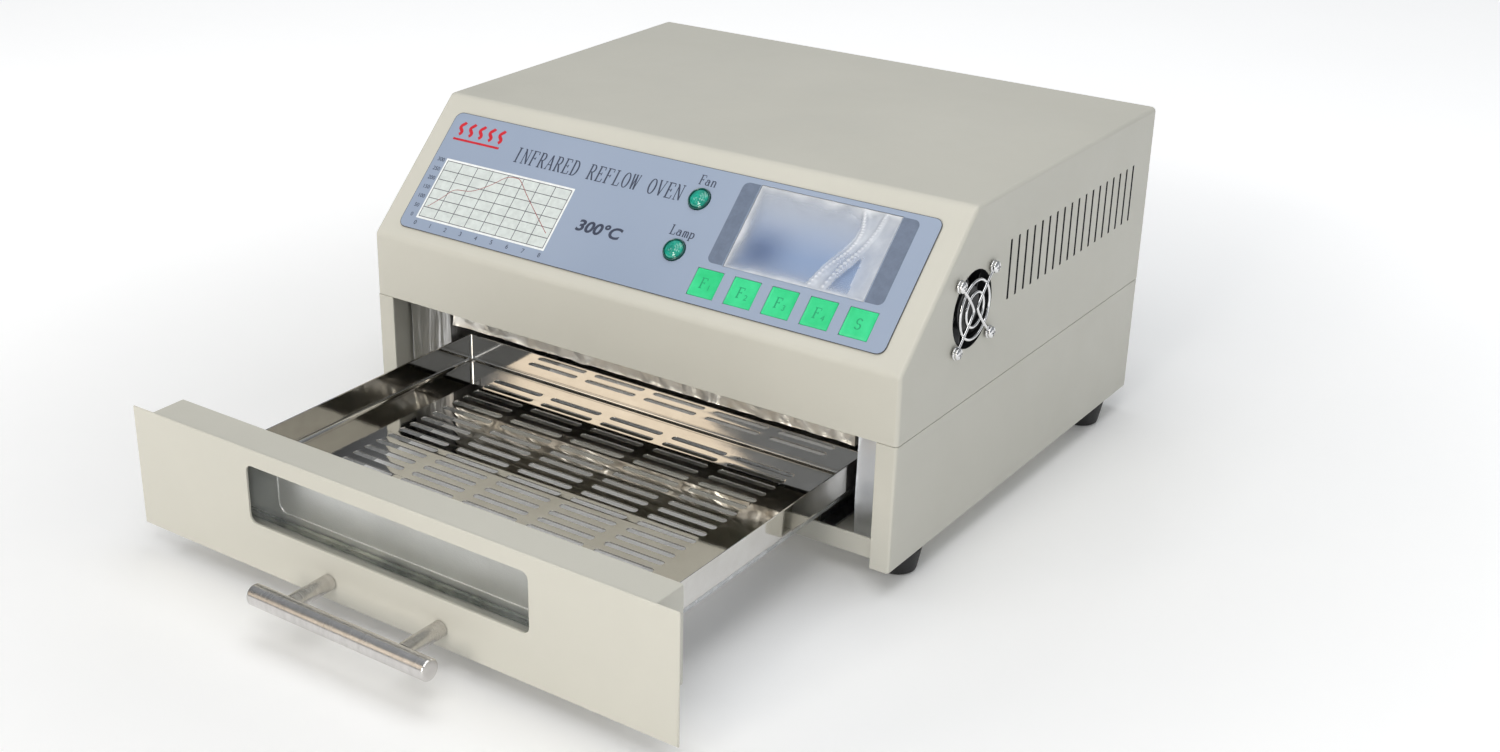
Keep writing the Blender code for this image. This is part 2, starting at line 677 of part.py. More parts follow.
def make_exhaust_fan(case):
    """Larger fan that draws air out of the chamber through the rear panel."""
    front = CASE_DEPTH - 0.0002 - SHEET - GAP - EXHAUST_DEPTH
    axis = datum("exhaust_fan_axis", case, (EXHAUST_X, front, EXHAUST_Z))
    axis.rotation_euler = (0, 0, math.pi / 2)
    body, bore = fan_frame_mesh(EXHAUST_SIZE, EXHAUST_DEPTH, 0.0380)
    frame = piece("exhaust_fan_frame", body, "black_plastic", axis)
    cut(frame, bore)
    join(frame, rod("X", (0, 0, 0), 0.0180, 0, 0.0020, 24))
    for turn in (20, 110, 200, 290):
        angle = math.radians(turn)
        tip = (0.0010, 0.0392 * math.cos(angle), 0.0392 * math.sin(angle))
        join(frame, swept([(0.0010, 0, 0), tip], 0.0009, 4))
    rotor_hub, blades = fan_rotor_mesh(0.0365, 0.0175, 0.0205, 7)
    rotor = piece("exhaust_fan_rotor", rotor_hub, "black_plastic", axis, (0.0025, 0, 0))
    for blade in blades:
        join(rotor, blade)
    wire = 0.0009
    lift = EXHAUST_DEPTH + 2 * GAP + SHEET + wire
    legs = []
    for turn in (45, 135):
        c, s = math.cos(math.radians(turn)), math.sin(math.radians(turn))
        legs.append([(lift + 0.0006, c * r, s * r) for r in (-0.0480, 0.0, 0.0480)])
    shapes = guard_wires((0.010, 0.019, 0.028, 0.037), legs, wire, lift)
    guard = piece("exhaust_fan_guard", shapes[0], "chrome", axis)
    for shape in shapes[1:]:
        join(guard, shape)


# ---- mains side ---------------------------------------------------------------------------
def make_mains(case):
    """Three-pin inlet, rocker power switch and fuse holder in the rear panel."""
    back = CASE_DEPTH - 0.0002
    def plate_round(x, half_x, half_z, front, rear):
        return block((x - half_x, front, INLET_Z - half_z), (x + half_x, rear, INLET_Z + half_z))
    flange = plate_round(INLET_X, 0.0155, 0.0115, back + GAP, back + 0.0023)
    inlet = piece("power_inlet", flange, "black_plastic", case)
    join(inlet, plate_round(INLET_X, 0.0136, 0.0096, back - 0.022, back + 0.001))
    cut(inlet, plate_round(INLET_X, 0.0118, 0.0078, back - 0.0150, back + THROUGH))
    for x, z in ((-0.007, -0.0020), (0.0, 0.0020), (0.007, -0.0020)):
        join(inlet, block((INLET_X + x - 0.0010, back - 0.0155, INLET_Z + z - 0.0020),
                          (INLET_X + x + 0.0010, back - 0.0040, INLET_Z + z + 0.0020)))

    rim = plate_round(SWITCH_X, 0.0078, 0.0108, back + GAP, back + 0.0020)
    frame = piece("power_switch_frame", rim, "black_plastic", case)
    join(frame, plate_round(SWITCH_X, 0.0064, 0.0094, back - 0.014, back + 0.001))
    cut(frame, plate_round(SWITCH_X, 0.0052, 0.0082, back - 0.0110, back + THROUGH))
    pivot = datum("power_switch_pivot", case, (SWITCH_X, back - ROCKER_DEPTH, INLET_Z), ROCKER_TILT)
    outline = [(-0.0040, -0.0050), (0.0046, -0.0072), (0.0058, -0.0066), (0.0040, 0.0),
               (0.0058, 0.0066), (0.0046, 0.0072), (-0.0040, 0.0050)]
    rocker = prism(outline, "X", -0.0049, 0.0049)
    piece("power_switch_rocker", rocker, "black_plastic", pivot)

    profile = [(0, -0.016), (0.0058, -0.016), (0.0058, GAP), (0.0080, GAP), (0.0080, 0.0016),
               (0.0070, 0.0023), (0.0060, 0.0023), (0.0056, 0.0016), (0, 0.0016)]
    piece("fuse_holder", turned(profile, "Y", (0, 0, 0), 20), "black_plastic", case, (FUSE_X, back, INLET_Z))


def make_power_board(case):
    """Board with heat sink, transformer and relay on the top slab."""
    laminate = block((-0.110, 0.120, 0.1035), (0.030, 0.205, 0.1051))
    board = piece("power_board", laminate, "circuit_board", case)
    join(board, block((-0.100, 0.130, 0.1046), (-0.064, 0.160, 0.1280)))
    join(board, block((-0.050, 0.132, 0.1046), (-0.030, 0.152, 0.1190)))
    join(board, block((-0.016, 0.134, 0.1046), (0.020, 0.144, 0.1300)))
    for x in (-0.104, 0.024):
        for y in (0.126, 0.199):
            join(board, rod("Z", (x, y, 0), 0.003, 0.0989, 0.1040, 12))


# ---- drawer -------------------------------------------------------------------------------
def make_drawer_front(case):
    """Front plate with a shallow box folded behind it, and the window opening."""
    half = PLATE_WIDTH / 2
    plate = block((-half, PLATE_FRONT, PLATE_BOTTOM), (half, PLATE_FRONT + SHEET, PLATE_TOP), 0.0004, 1)
    front = piece("drawer_front", plate, "ivory_paint", case)
    box_half = DRAWER_BOX_WIDTH / 2
    box_back = PLATE_FRONT + DRAWER_BOX_DEPTH
    bm = block((-box_half, PLATE_FRONT + SHEET * 0.5, DRAWER_BOX_BOTTOM),
               (box_half, box_back, DRAWER_BOX_TOP))
    bevel_where(bm, lambda a, b: abs(a.y - b.y) > 0.001, 0.0012, 2)
    join(front, bm)
    cut(front, block((-box_half + SHEET, PLATE_FRONT + SHEET, DRAWER_BOX_BOTTOM + SHEET),
                     (box_half - SHEET, box_back + THROUGH, DRAWER_BOX_TOP - SHEET)))
    left, right, low, high = DRAWER_WINDOW
    opening = rounded_outline(left, right, low, high, WINDOW_CORNER)
    cut(front, prism(opening, "Y", PLATE_FRONT - THROUGH, PLATE_FRONT + THROUGH))


def make_drawer_window(case):
    left, right, low, high = DRAWER_WINDOW
    glass_front = PLATE_FRONT + SHEET + GAP
    pane = block((left - 0.005, glass_front, low - 0.005),
                 (right + 0.005, glass_front + 0.003, high + 0.0045), 0.0003, 1)
    piece("window_glass", pane, "window_glass", case)
    back = PLATE_FRONT + DRAWER_BOX_DEPTH
    half = DRAWER_BOX_WIDTH / 2 - SHEET - GAP
    inner_front = back - 0.0016
    sheet = block((-half, inner_front, DRAWER_BOX_BOTTOM + SHEET + GAP),
                  (half, inner_front + 0.0012, DRAWER_BOX_TOP - SHEET - GAP))
    inner = piece("drawer_back_plate", sheet, "brushed_steel", case)
    recess = rounded_outline(left, right, low - 0.0020, high + 0.0022, WINDOW_CORNER + 0.001)
    cut(inner, prism(recess, "Y", inner_front - THROUGH, inner_front + 0.0005))


def make_handle(case):
    """Round bar on two turned posts."""
    axis_y = PLATE_FRONT - HANDLE_REACH
    half = HANDLE_LENGTH / 2
    bar = rod("X", (0, 0, 0), HANDLE_BAR_RADIUS, -half, half, 28, 0.0006)
    piece("handle_bar", bar, "brushed_steel", case, (0, axis_y, HANDLE_HEIGHT))
    for name, side in SIDES.items():
        x = side * HANDLE_POST_SPACING / 2
        post = rod("Y", (0, 0, 0), HANDLE_POST_RADIUS, 0, HANDLE_REACH - GAP, 20)
        item = piece(f"handle_post_{name}", post, "brushed_steel", case, (x, axis_y, HANDLE_HEIGHT))
        reach = HANDLE_BAR_RADIUS + GAP
        cut(item, rod("X", (0, 0, 0), reach, -THROUGH, THROUGH, 28))


def make_tray(case):
    """Shallow polished tray with a slotted floor."""
    def shell(rim_half, floor_half, front, rear, low, high):
        bm = block((-rim_half, front, low), (rim_half, rear, high))
        for corner in bm.verts:
            if corner.co.z < low + 1e-5:
                corner.co.x *= floor_half / rim_half
        bevel_where(bm, lambda a, b: a.z < low + 1e-5 and b.z < low + 1e-5, TRAY_BEND, 2)
        return bm
    rim_half = TRAY_RIM_WIDTH / 2
    floor_half = TRAY_FLOOR_WIDTH / 2
    outside = shell(rim_half, floor_half, TRAY_FRONT, TRAY_REAR, TRAY_BOTTOM, TRAY_RIM)
    inside = shell(rim_half - TRAY_SHEET, floor_half - TRAY_SHEET, TRAY_FRONT + TRAY_SHEET,
                   TRAY_REAR - TRAY_SHEET, TRAY_BOTTOM + TRAY_SHEET, TRAY_RIM + THROUGH)
    tray = piece("work_tray", outside, "mirror_steel", case)
    cut(tray, inside)
    slots = []
    for column in range(SLOT_COLUMNS):
        x = (column - (SLOT_COLUMNS - 1) / 2) * SLOT_COLUMN_PITCH
        for row in range(SLOT_ROWS):
            y = SLOT_REARMOST - row * SLOT_ROW_PITCH
            slots.append(((x - SLOT_LENGTH / 2, y - SLOT_WIDTH / 2, TRAY_BOTTOM - 0.001),
                          (x + SLOT_LENGTH / 2, y + SLOT_WIDTH / 2, TRAY_BOTTOM + 0.002)))
    cut(tray, blocks(slots))


def make_tray_frame(case):
    """Flat frame under the tray; the slides' moving rails are fixed to it."""
    half = TRAY_FRAME_WIDTH / 2
    high = TRAY_BOTTOM - GAP
    low = high - TRAY_FRAME_HEIGHT
    frame = piece("tray_frame", block((-half, TRAY_FRONT + 0.0003, low), (half, TRAY_REAR - 0.001, high)),
                  "zinc_plate", case)
    bar = 0.007
    front, rear = TRAY_FRONT + 0.010, TRAY_REAR - 0.010
    inner = RAIL_X - 0.004
    cut(frame, block((-inner, front, low - THROUGH), (inner, rear, high + THROUGH)))
    for side in SIDES.values():
        cut(frame, block(*on_side(side, (RAIL_X + 0.009, front, low - THROUGH),
                                  (half - bar, rear, high + THROUGH))))


# ---- drawer slides ------------------------------------------------------------------------
def make_slides(case):
    """Each slide has a fixed channel, a moving channel and a ball cage between them."""
    for name, side in SIDES.items():
        web = block(*on_side(side, (RAIL_X, TRAY_FRONT + 0.0005, RAIL_LOW),
                             (RAIL_X + RAIL_SHEET, MOVING_RAIL_REAR, RAIL_TOP)))
        moving = piece(f"moving_rail_{name}", web, "zinc_plate", case)
        for z in (RAIL_LOW, RAIL_TOP - 0.0020):
            join(moving, block(*on_side(side, (RAIL_X + 0.0005, TRAY_FRONT + 0.0005, z),
                                        (RAIL_X + 0.0040, MOVING_RAIL_REAR, z + RAIL_SHEET))))
        outer = RAIL_X + 0.0092
        web = block(*on_side(side, (outer, FIXED_RAIL_FRONT, SHEET + GAP),
                             (outer + 0.0012, FIXED_RAIL_REAR, RAIL_TOP)))
        fixed = piece(f"fixed_rail_{name}", web, "zinc_plate", case)
        for z in (RAIL_LOW - 0.0022, RAIL_TOP - 0.0012):
            join(fixed, block(*on_side(side, (RAIL_X + 0.0048, FIXED_RAIL_FRONT, z),
                                       (outer + 0.0006, FIXED_RAIL_REAR, z + 0.0012))))
        join(fixed, block(*on_side(side, (outer, FIXED_RAIL_FRONT, SHEET + GAP),
                                   (outer + 0.008, FIXED_RAIL_REAR, SHEET + GAP + 0.0012))))
        strip = block(*on_side(side, (RAIL_X + 0.0052, CAGE_FRONT, RAIL_LOW + 0.0001),
                               (RAIL_X + 0.0072, CAGE_REAR, RAIL_TOP - 0.0020)), 0.0006, 1)
        cage = piece(f"ball_cage_{name}", strip, "brushed_steel", case)
        cut(cage, block(*on_side(side, (RAIL_X + 0.0042, CAGE_FRONT + 0.004, RAIL_LOW + 0.0025),
                                 (RAIL_X + 0.0082, CAGE_REAR - 0.004, RAIL_TOP - 0.0045))))


def main():
    clear_scene()
    case = datum("case_datum", None, (0, FRONT_FACE_Y, FOOT_HEIGHT))
    panel = datum("panel_datum", case, (0, 0, FOLD_HEIGHT), PANEL_ANGLE)
    make_base_chassis(case)
    make_top_cover(case, panel)
    make_rear_panel(case)
    make_feet(case)
    make_control_overlay(panel)
    make_keys(panel)
    make_indicators(panel)
    make_display(panel)
    make_insulation(case)
    make_chamber_liner(case)
    make_heaters(case)
    make_thermocouple(case)
    make_side_fan(case)
    make_exhaust_fan(case)
    make_mains(case)
    make_power_board(case)
    make_drawer_front(case)
    make_drawer_window(case)
    make_handle(case)
    make_tray(case)
    make_tray_frame(case)
    make_slides(case)


main()
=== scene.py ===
"""Looks of the benchtop reflow oven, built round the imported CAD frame.

Metres, +Z up, +X to the right, the front faces -Y.  Panel pieces use the slanted panel's own
directions: u across from the middle, v up the slope from the fold, w outwards from the label.
"""
import json
import bpy
import bmesh
from math import cos, exp, pi, radians, sin, tau
from mathutils import Matrix, Vector, noise

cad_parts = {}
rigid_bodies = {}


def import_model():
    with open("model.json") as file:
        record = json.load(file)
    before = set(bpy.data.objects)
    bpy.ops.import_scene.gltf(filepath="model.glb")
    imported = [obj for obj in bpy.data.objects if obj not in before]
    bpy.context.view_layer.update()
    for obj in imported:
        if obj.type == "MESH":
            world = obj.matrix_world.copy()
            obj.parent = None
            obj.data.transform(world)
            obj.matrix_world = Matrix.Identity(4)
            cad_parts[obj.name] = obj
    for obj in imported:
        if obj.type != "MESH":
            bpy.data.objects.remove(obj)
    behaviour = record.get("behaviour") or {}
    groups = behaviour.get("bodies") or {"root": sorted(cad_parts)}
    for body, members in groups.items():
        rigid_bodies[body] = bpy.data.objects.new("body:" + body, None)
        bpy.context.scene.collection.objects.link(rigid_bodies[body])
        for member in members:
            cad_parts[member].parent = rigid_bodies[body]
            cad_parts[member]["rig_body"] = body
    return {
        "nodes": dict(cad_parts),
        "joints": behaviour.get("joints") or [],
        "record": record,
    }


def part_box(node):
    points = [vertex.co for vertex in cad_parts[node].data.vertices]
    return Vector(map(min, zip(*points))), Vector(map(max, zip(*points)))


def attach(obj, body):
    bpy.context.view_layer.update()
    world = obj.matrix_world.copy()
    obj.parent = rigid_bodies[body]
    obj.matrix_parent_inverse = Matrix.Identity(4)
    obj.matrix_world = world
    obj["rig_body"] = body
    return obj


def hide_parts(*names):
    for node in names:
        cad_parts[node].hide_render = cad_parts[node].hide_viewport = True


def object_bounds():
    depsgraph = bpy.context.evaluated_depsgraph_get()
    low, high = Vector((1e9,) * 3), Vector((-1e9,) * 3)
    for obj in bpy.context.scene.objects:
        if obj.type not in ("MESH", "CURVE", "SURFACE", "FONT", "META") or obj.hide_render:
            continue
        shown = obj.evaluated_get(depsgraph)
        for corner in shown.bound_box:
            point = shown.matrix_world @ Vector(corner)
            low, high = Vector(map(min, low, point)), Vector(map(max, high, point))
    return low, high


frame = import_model()
CAD_LOW, CAD_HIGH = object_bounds()

NODES = frame["nodes"]
SLOT_OF = {entry["node"]: entry["material_slot"] for entry in frame["record"]["subparts"]}

# ---- panel directions, taken from the key's travel and the label plate -----------------------
OVERLAY_LOW_V = 0.0074
PRINT = 0.00004
key_travel = next(joint for joint in frame["joints"] if joint["name"] == "key_f1_press")
OUTWARD = -Vector(key_travel["axis"]).normalized()
UPWARD = Vector((0.0, OUTWARD.z, -OUTWARD.y))
overlay_corners = [vertex.co for vertex in NODES["control_overlay"].data.vertices]
overlay_v = min(co.dot(UPWARD) for co in overlay_corners)
overlay_w = max(co.dot(OUTWARD) for co in overlay_corners)
PANEL = Matrix.Translation(UPWARD * (overlay_v - OVERLAY_LOW_V) + OUTWARD * overlay_w) @ Matrix((
    (1.0, 0.0, 0.0, 0.0), (0.0, UPWARD.y, OUTWARD.y, 0.0),
    (0.0, UPWARD.z, OUTWARD.z, 0.0), (0.0, 0.0, 0.0, 1.0)))


# ---- material wiring -------------------------------------------------------------------------
class Nodes:
    """A node tree, with short names for the nodes used here."""

    def __init__(self, tree):
        self.tree = tree

    def node(self, kind, values=(), **settings):
        made = self.tree.nodes.new("ShaderNode" + kind)
        for key, value in settings.items():
            setattr(made, key, value)
        for key, value in dict(values).items():
            if isinstance(value, bpy.types.NodeSocket):
                self.tree.links.new(value, made.inputs[key])
            else:
                made.inputs[key].default_value = value
        return made

    def span(self, value, low, high, from_low=0.3, from_high=0.7):
        return self.node("MapRange", {0: value, 1: from_low, 2: from_high, 3: low, 4: high}).outputs[0]

    def math(self, operation, a, b=0.0):
        return self.node("Math", {0: a, 1: b}, operation=operation).outputs[0]

    def blend(self, factor, a, b, kind="MIX"):
        return self.node("Mix", {0: factor, 6: a, 7: b}, data_type="RGBA", blend_type=kind).outputs[2]


class Wiring(Nodes):
    """One material's node tree."""

    def __init__(self, name, **sockets):
        self.material = bpy.data.materials.new(name)
        self.material.use_nodes = True
        super().__init__(self.material.node_tree)
        self.shader = self.tree.nodes["Principled BSDF"]
        for key, value in sockets.items():
            self.shader.inputs[key.replace("_", " ")].default_value = value

    def place(self, stretch=(1.0, 1.0, 1.0)):
        where = self.node("TexCoord").outputs["Object"]
        return self.node("Mapping", {"Vector": where, "Scale": stretch}).outputs[0]

    def noise(self, where, scale, detail=4.0, roughness=0.5, distortion=0.0):
        return self.node("TexNoise", {"Vector": where, "Scale": scale, "Detail": detail, "Roughness": roughness,
                                      "Distortion": distortion}).outputs[0]

    def cells(self, where, scale, feature="F1", output="Distance"):
        return self.node("TexVoronoi", {"Vector": where, "Scale": scale}, feature=feature).outputs[output]

    def ramp(self, value, stops):
        made = self.node("ValToRGB", {0: value})
        points = made.color_ramp.elements
        while len(points) < len(stops):
            points.new(0.5)
        for point, (at, colour) in zip(points, stops):
            point.position = at
            point.color = (*colour, 1.0)
        return made.outputs[0]

    def wander(self, value, tones, low=0.35):
        """A colour that drifts between two tones."""
        return self.ramp(value, [(low, tones[0]), (1.0 - low, tones[1])])

    def bump(self, height, distance, normal=None):
        values = {"Height": height, "Distance": distance, "Strength": 1.0}
        if normal is not None:
            values["Normal"] = normal
        return self.node("Bump", values).outputs[0]

    def tone(self):
        """The colour laid on the mesh itself by tinted()."""
        return self.node("Attribute", attribute_name="tone").outputs["Color"]

    def feed(self, key, socket):
        self.tree.links.new(socket, self.shader.inputs[key])

    def finish(self, colour, rough, normal):
        self.feed("Base Color", colour)
        self.feed("Roughness", rough)
        self.feed("Normal", normal)
        return self.material


def surface(name, tones, rough, patch=30.0, grain=1200.0, depth=0.00001, **sockets):
    """Colour wanders between two tones in soft patches; roughness and bump follow a finer grain."""
    made = Wiring(name, **sockets)
    where = made.place()
    patches = made.noise(where, patch, 5.0, 0.6)
    fine = made.noise(where, grain, 3.0)
    return made.finish(made.wander(patches, tones), made.span(made.blend(0.5, patches, fine), *rough),
                       made.bump(fine, depth))


def powder_coat(name, tones):
    """Satin stove paint: faint clouding, a fine orange peel and soft dull patches from handling."""
    made = Wiring(name, Specular_IOR_Level=0.4)
    where = made.place()
    clouds = made.noise(where, 9.0, 6.0, 0.6)
    dull = made.noise(where, 34.0, 5.0, 0.6)
    peel = made.noise(where, 1500.0, 2.0)
    return made.finish(made.wander(clouds, tones, 0.3), made.span(dull, 0.38, 0.52),
                       made.bump(peel, 0.000018, made.bump(clouds, 0.00015)))


def mirror_sheet(name, tones, rough, waves, brush=(1.0, 0.03, 1.0), scratch=0.0000015):
    """Polished sheet steel: long shallow waves bend the reflections and fine hairlines cross them."""
    made = Wiring(name, Metallic=1.0)
    plain = made.place()
    broad = made.noise(plain, 16.0, 2.0, 0.4)
    hair = made.noise(made.place(brush), 2200.0, 3.0, 0.6)
    smear = made.noise(plain, 45.0, 6.0, 0.65)
    return made.finish(made.wander(smear, tones), made.span(made.blend(0.35, smear, hair), *rough),
                       made.bump(hair, scratch, made.bump(broad, waves)))


def crinkled_foil(name, tones, rough, size, depth=0.0011, stretch=(1.0, 1.0, 1.0)):
    """Aluminium foil: broad soft folds between flat facets, with a few finer creases inside them."""
    made = Wiring(name, Metallic=1.0)
    where = made.place(stretch)
    warp = made.noise(where, size * 0.6, 2.0, 0.5, 1.0)
    facets = made.cells(where, size, "DISTANCE_TO_EDGE")
    small = made.cells(where, size * 2.6, "DISTANCE_TO_EDGE")
    crush = made.noise(where, size * 5.0, 3.0, 0.6)
    creases = made.bump(small, depth * 0.25, made.bump(facets, depth))
    return made.finish(made.wander(warp, tones), made.span(crush, *rough),
                       made.bump(crush, depth * 0.05, made.bump(warp, depth * 2.5, creases)))


def spangled_zinc(name):
    made = Wiring(name, Metallic=1.0)
    where = made.place()
    grey = made.node("RGBToBW", {0: made.cells(where, 260.0, "F1", "Color")}).outputs[0]
    haze = made.noise(where, 60.0, 5.0)
    return made.finish(made.wander(grey, ((0.46, 0.47, 0.48), (0.6, 0.61, 0.62)), 0.2),
                       made.span(haze, 0.26, 0.44), made.bump(haze, 0.00003, made.bump(grey, 0.000006)))


def turned_steel(name, tones, stretch):
    """Stainless bar: fine rings left by the polishing belt, running round the bar."""
    made = Wiring(name, Metallic=1.0)
    where = made.place(stretch)
    rings = made.noise(where, 3500.0, 3.0, 0.7)
    bands = made.noise(where, 420.0, 4.0, 0.6)
    smear = made.noise(made.place(), 40.0, 3.0)
    return made.finish(made.wander(bands, tones, 0.3), made.span(made.blend(0.4, smear, rings), 0.22, 0.3),
                       made.bump(rings, 0.000008))


def printed_film(name, tones):
    """Satin membrane label whose colour shifts a little across its width."""
    made = Wiring(name, Specular_IOR_Level=0.45)
    where = made.place()
    broad = made.noise(where, 6.0, 2.0)
    fine = made.noise(where, 2600.0, 2.0)
    return made.finish(made.wander(broad, tones), made.span(fine, 0.28, 0.4),
                       made.bump(fine, 0.000004, made.bump(broad, 0.0002)))


def ink(name, tone, rough=0.45):
    """Screen-printed ink with slightly uneven cover."""
    lighter = tuple(min(1.0, part * 1.15 + 0.004) for part in tone)
    return surface(name, (tone, lighter), (rough - 0.06, rough + 0.08), 300.0, 3000.0, 0.000003)


def glass(name, tint, rough, ior):
    """Clear glass with faint smears."""
    made = Wiring(name, Transmission_Weight=1.0, IOR=ior)
    smear = made.noise(made.place(), 55.0, 6.0, 0.65)
    return made.finish(made.wander(smear, (tint, tuple(min(1.0, part * 1.03) for part in tint)), 0.3),
                       made.span(smear, *rough), made.bump(smear, 0.00002))


def thin_pane(name, tint, cover):
    """Flat window pane that lets light through, with a faint film of smears over its shine."""
    made = Wiring(name, Specular_IOR_Level=1.0)
    smear = made.noise(made.place(), 38.0, 6.0, 0.65)
    made.feed("Alpha", made.span(smear, *cover))
    return made.finish(made.wander(smear, (tint, tuple(part * 1.8 for part in tint)), 0.3),
                       made.span(smear, 0.01, 0.05), made.bump(smear, 0.00002))


def protective_film(name):
    """Thin plastic film: clear in the middle, milky where the mesh's own tone says it is loose, and white where
    that tone paints highlights on the creases.
    """
    made = Wiring(name, Specular_IOR_Level=0.7, Coat_Weight=0.5, Coat_Roughness=0.05)
    pulls = made.noise(made.place((1.0, 0.25, 0.25)), 120.0, 3.0, 0.5, 0.6)
    haze = made.noise(made.place(), 45.0, 5.0, 0.6)
    broken = made.math("MULTIPLY", made.tone(), made.span(haze, 0.75, 1.15))
    made.feed("Alpha", made.span(broken, 0.06, 0.88, 0.0, 1.0))
    haze_and_highlight_colour = made.ramp(broken, [(0.0, (0.55, 0.62, 0.74)), (0.6, (0.8, 0.83, 0.88)), (1.0, (0.92, 0.93, 0.95))])
    return made.finish(haze_and_highlight_colour, made.span(haze, 0.08, 0.22), made.bump(pulls, 0.0003, made.bump(haze, 0.0004)))


def display_face(name):
    """Unlit liquid crystal: its tone, which holds a painted reflection, is laid on the mesh, broken up by a fine
    dot pattern.
    """
    made = Wiring(name, Specular_IOR_Level=0.5, Coat_Weight=0.5, Coat_Roughness=0.08)
    where = made.place()
    haze = made.noise(where, 30.0, 4.0)
    grain = made.ramp(made.cells(where, 2400.0), [(0.2, (0.97, 0.97, 0.98)), (0.6, (1.0, 1.0, 1.0))])
    return made.finish(made.blend(1.0, made.tone(), grain, "MULTIPLY"), made.span(haze, 0.12, 0.22),
                       made.bump(haze, 0.00002))


def bare_sheet(name, tone):
    """Sheet inside the case, with light passivation stains, in the tone it is given; the case gives it a
    near-black tone, which is painted shade.
    """
    made = Wiring(name, Metallic=0.4)
    stains = made.noise(made.place(), 28.0, 6.0, 0.65)
    rolled = made.noise(made.place((1.0, 0.05, 1.0)), 900.0, 3.0)
    return made.finish(made.wander(stains, (tone, tuple(part * 1.5 for part in tone)), 0.3),
                       made.span(rolled, 0.45, 0.65), made.bump(rolled, 0.000006))


def solder_mask(name):
    """Green board with paler tracks."""
    made = Wiring(name, Specular_IOR_Level=0.5)
    where = made.place()
    tracks = made.cells(where, 240.0, "DISTANCE_TO_EDGE")
    return made.finish(made.ramp(tracks, [(0.04, (0.05, 0.3, 0.13)), (0.09, (0.018, 0.14, 0.06))]),
                       made.span(made.noise(where, 50.0, 4.0), 0.3, 0.48), made.bump(tracks, 0.00004))


IVORY = powder_coat("ivory_powder_coat", ((0.602, 0.59, 0.522), (0.636, 0.622, 0.552)))
# Near-black painted shade for the case's inside and its louvre walls, darker than bare sheet would be.
SHADED_INSIDE_SHEET = bare_sheet("case_inside_painted_shade", (0.03, 0.031, 0.032))
MIRROR = mirror_sheet("polished_tray_steel", ((0.6, 0.585, 0.56), (0.66, 0.65, 0.63)), (0.03, 0.075), 0.00016)
# Chamber liner: a brown heat tint, made dark beyond it as painted shade so the chamber reads dark.
LINER_TINT_AND_SHADE = mirror_sheet("heat_tinted_liner_and_painted_shade", ((0.2, 0.16, 0.12), (0.34, 0.31, 0.28)), (0.22, 0.42), 0.0004)
PLATE = mirror_sheet("brushed_inner_plate", ((0.84, 0.85, 0.85), (0.9, 0.91, 0.91)), (0.36, 0.5), 0.00012,
                     (0.04, 1.0, 1.0), 0.000008)
ZINC = spangled_zinc("zinc_plated_steel")
BAR_STEEL = turned_steel("brushed_handle_bar", ((0.6, 0.585, 0.57), (0.72, 0.7, 0.69)), (1.0, 0.05, 0.05))
POST_STEEL = turned_steel("brushed_handle_post", ((0.58, 0.565, 0.55), (0.7, 0.68, 0.67)), (0.05, 1.0, 0.05))
CHROME = surface("bright_chrome", ((0.74, 0.74, 0.75), (0.8, 0.8, 0.8)), (0.05, 0.16), patch=120.0,
                 depth=0.000003, Metallic=1.0)
FOIL = crinkled_foil("aluminium_foil", ((0.8, 0.81, 0.83), (0.88, 0.89, 0.9)), (0.2, 0.4), 45.0)
FOIL_LEFT = crinkled_foil("aluminium_foil_upright", ((0.8, 0.8, 0.81), (0.9, 0.9, 0.9)), (0.3, 0.48), 110.0,
                          0.001, (1.0, 1.0, 0.12))
FOIL_RIGHT = crinkled_foil("aluminium_foil_smooth", ((0.84, 0.86, 0.9), (0.9, 0.92, 0.95)), (0.36, 0.52), 50.0,
                           0.0006, (1.0, 1.0, 0.5))
# Front foil: its warm cast is painted warm light reflected on the foil.
FOIL_FRONT = crinkled_foil("foil_painted_warm_light", ((0.8, 0.76, 0.68), (0.92, 0.9, 0.85)), (0.28, 0.46), 70.0,
                           0.001)
# Dark greenish seal foil: the darkness is painted shade at the bottom of the window.
SHADED_SEAL_FOIL = crinkled_foil("seal_foil_painted_shade", ((0.1, 0.12, 0.1), (0.42, 0.44, 0.36)), (0.1, 0.26), 160.0, 0.0011,
                       (0.35, 1.0, 1.0))
RUBBER = surface("black_rubber", ((0.016, 0.016, 0.017), (0.03, 0.03, 0.031)), (0.55, 0.8), patch=60.0,
                 grain=1800.0, depth=0.00003)
PLASTIC = surface("black_moulded_plastic", ((0.015, 0.015, 0.016), (0.026, 0.026, 0.028)), (0.34, 0.52),
                  patch=40.0, grain=2200.0, depth=0.00001)
FILM = printed_film("overlay_print", ((0.3, 0.365, 0.485), (0.345, 0.41, 0.53)))
GREEN_KEY = surface("green_key_plastic", ((0.02, 0.6, 0.22), (0.04, 0.7, 0.29)), (0.34, 0.5), patch=90.0,
                    depth=0.000006, Coat_Weight=0.15)
KEY_INK = ink("key_label_ink", (0.01, 0.33, 0.14))
LENS = surface("green_lens", ((0.003, 0.25, 0.18), (0.01, 0.4, 0.29)), (0.04, 0.12), patch=260.0,
               depth=0.000006, Coat_Weight=1.0, Coat_Roughness=0.03)
LENS_RIM = surface("dark_lens_rim", ((0.006, 0.07, 0.058), (0.01, 0.11, 0.09)), (0.16, 0.3), patch=300.0,
                   depth=0.000006)
SCREEN_HOUSING = surface("display_housing", ((0.03, 0.03, 0.032), (0.05, 0.05, 0.052)), (0.34, 0.5))
SCREEN_FACE = display_face("unlit_screen")
SCREEN_FILM = protective_film("screen_protective_film")
WINDOW = thin_pane("oven_window_glass", (0.42, 0.45, 0.44), (0.04, 0.09))
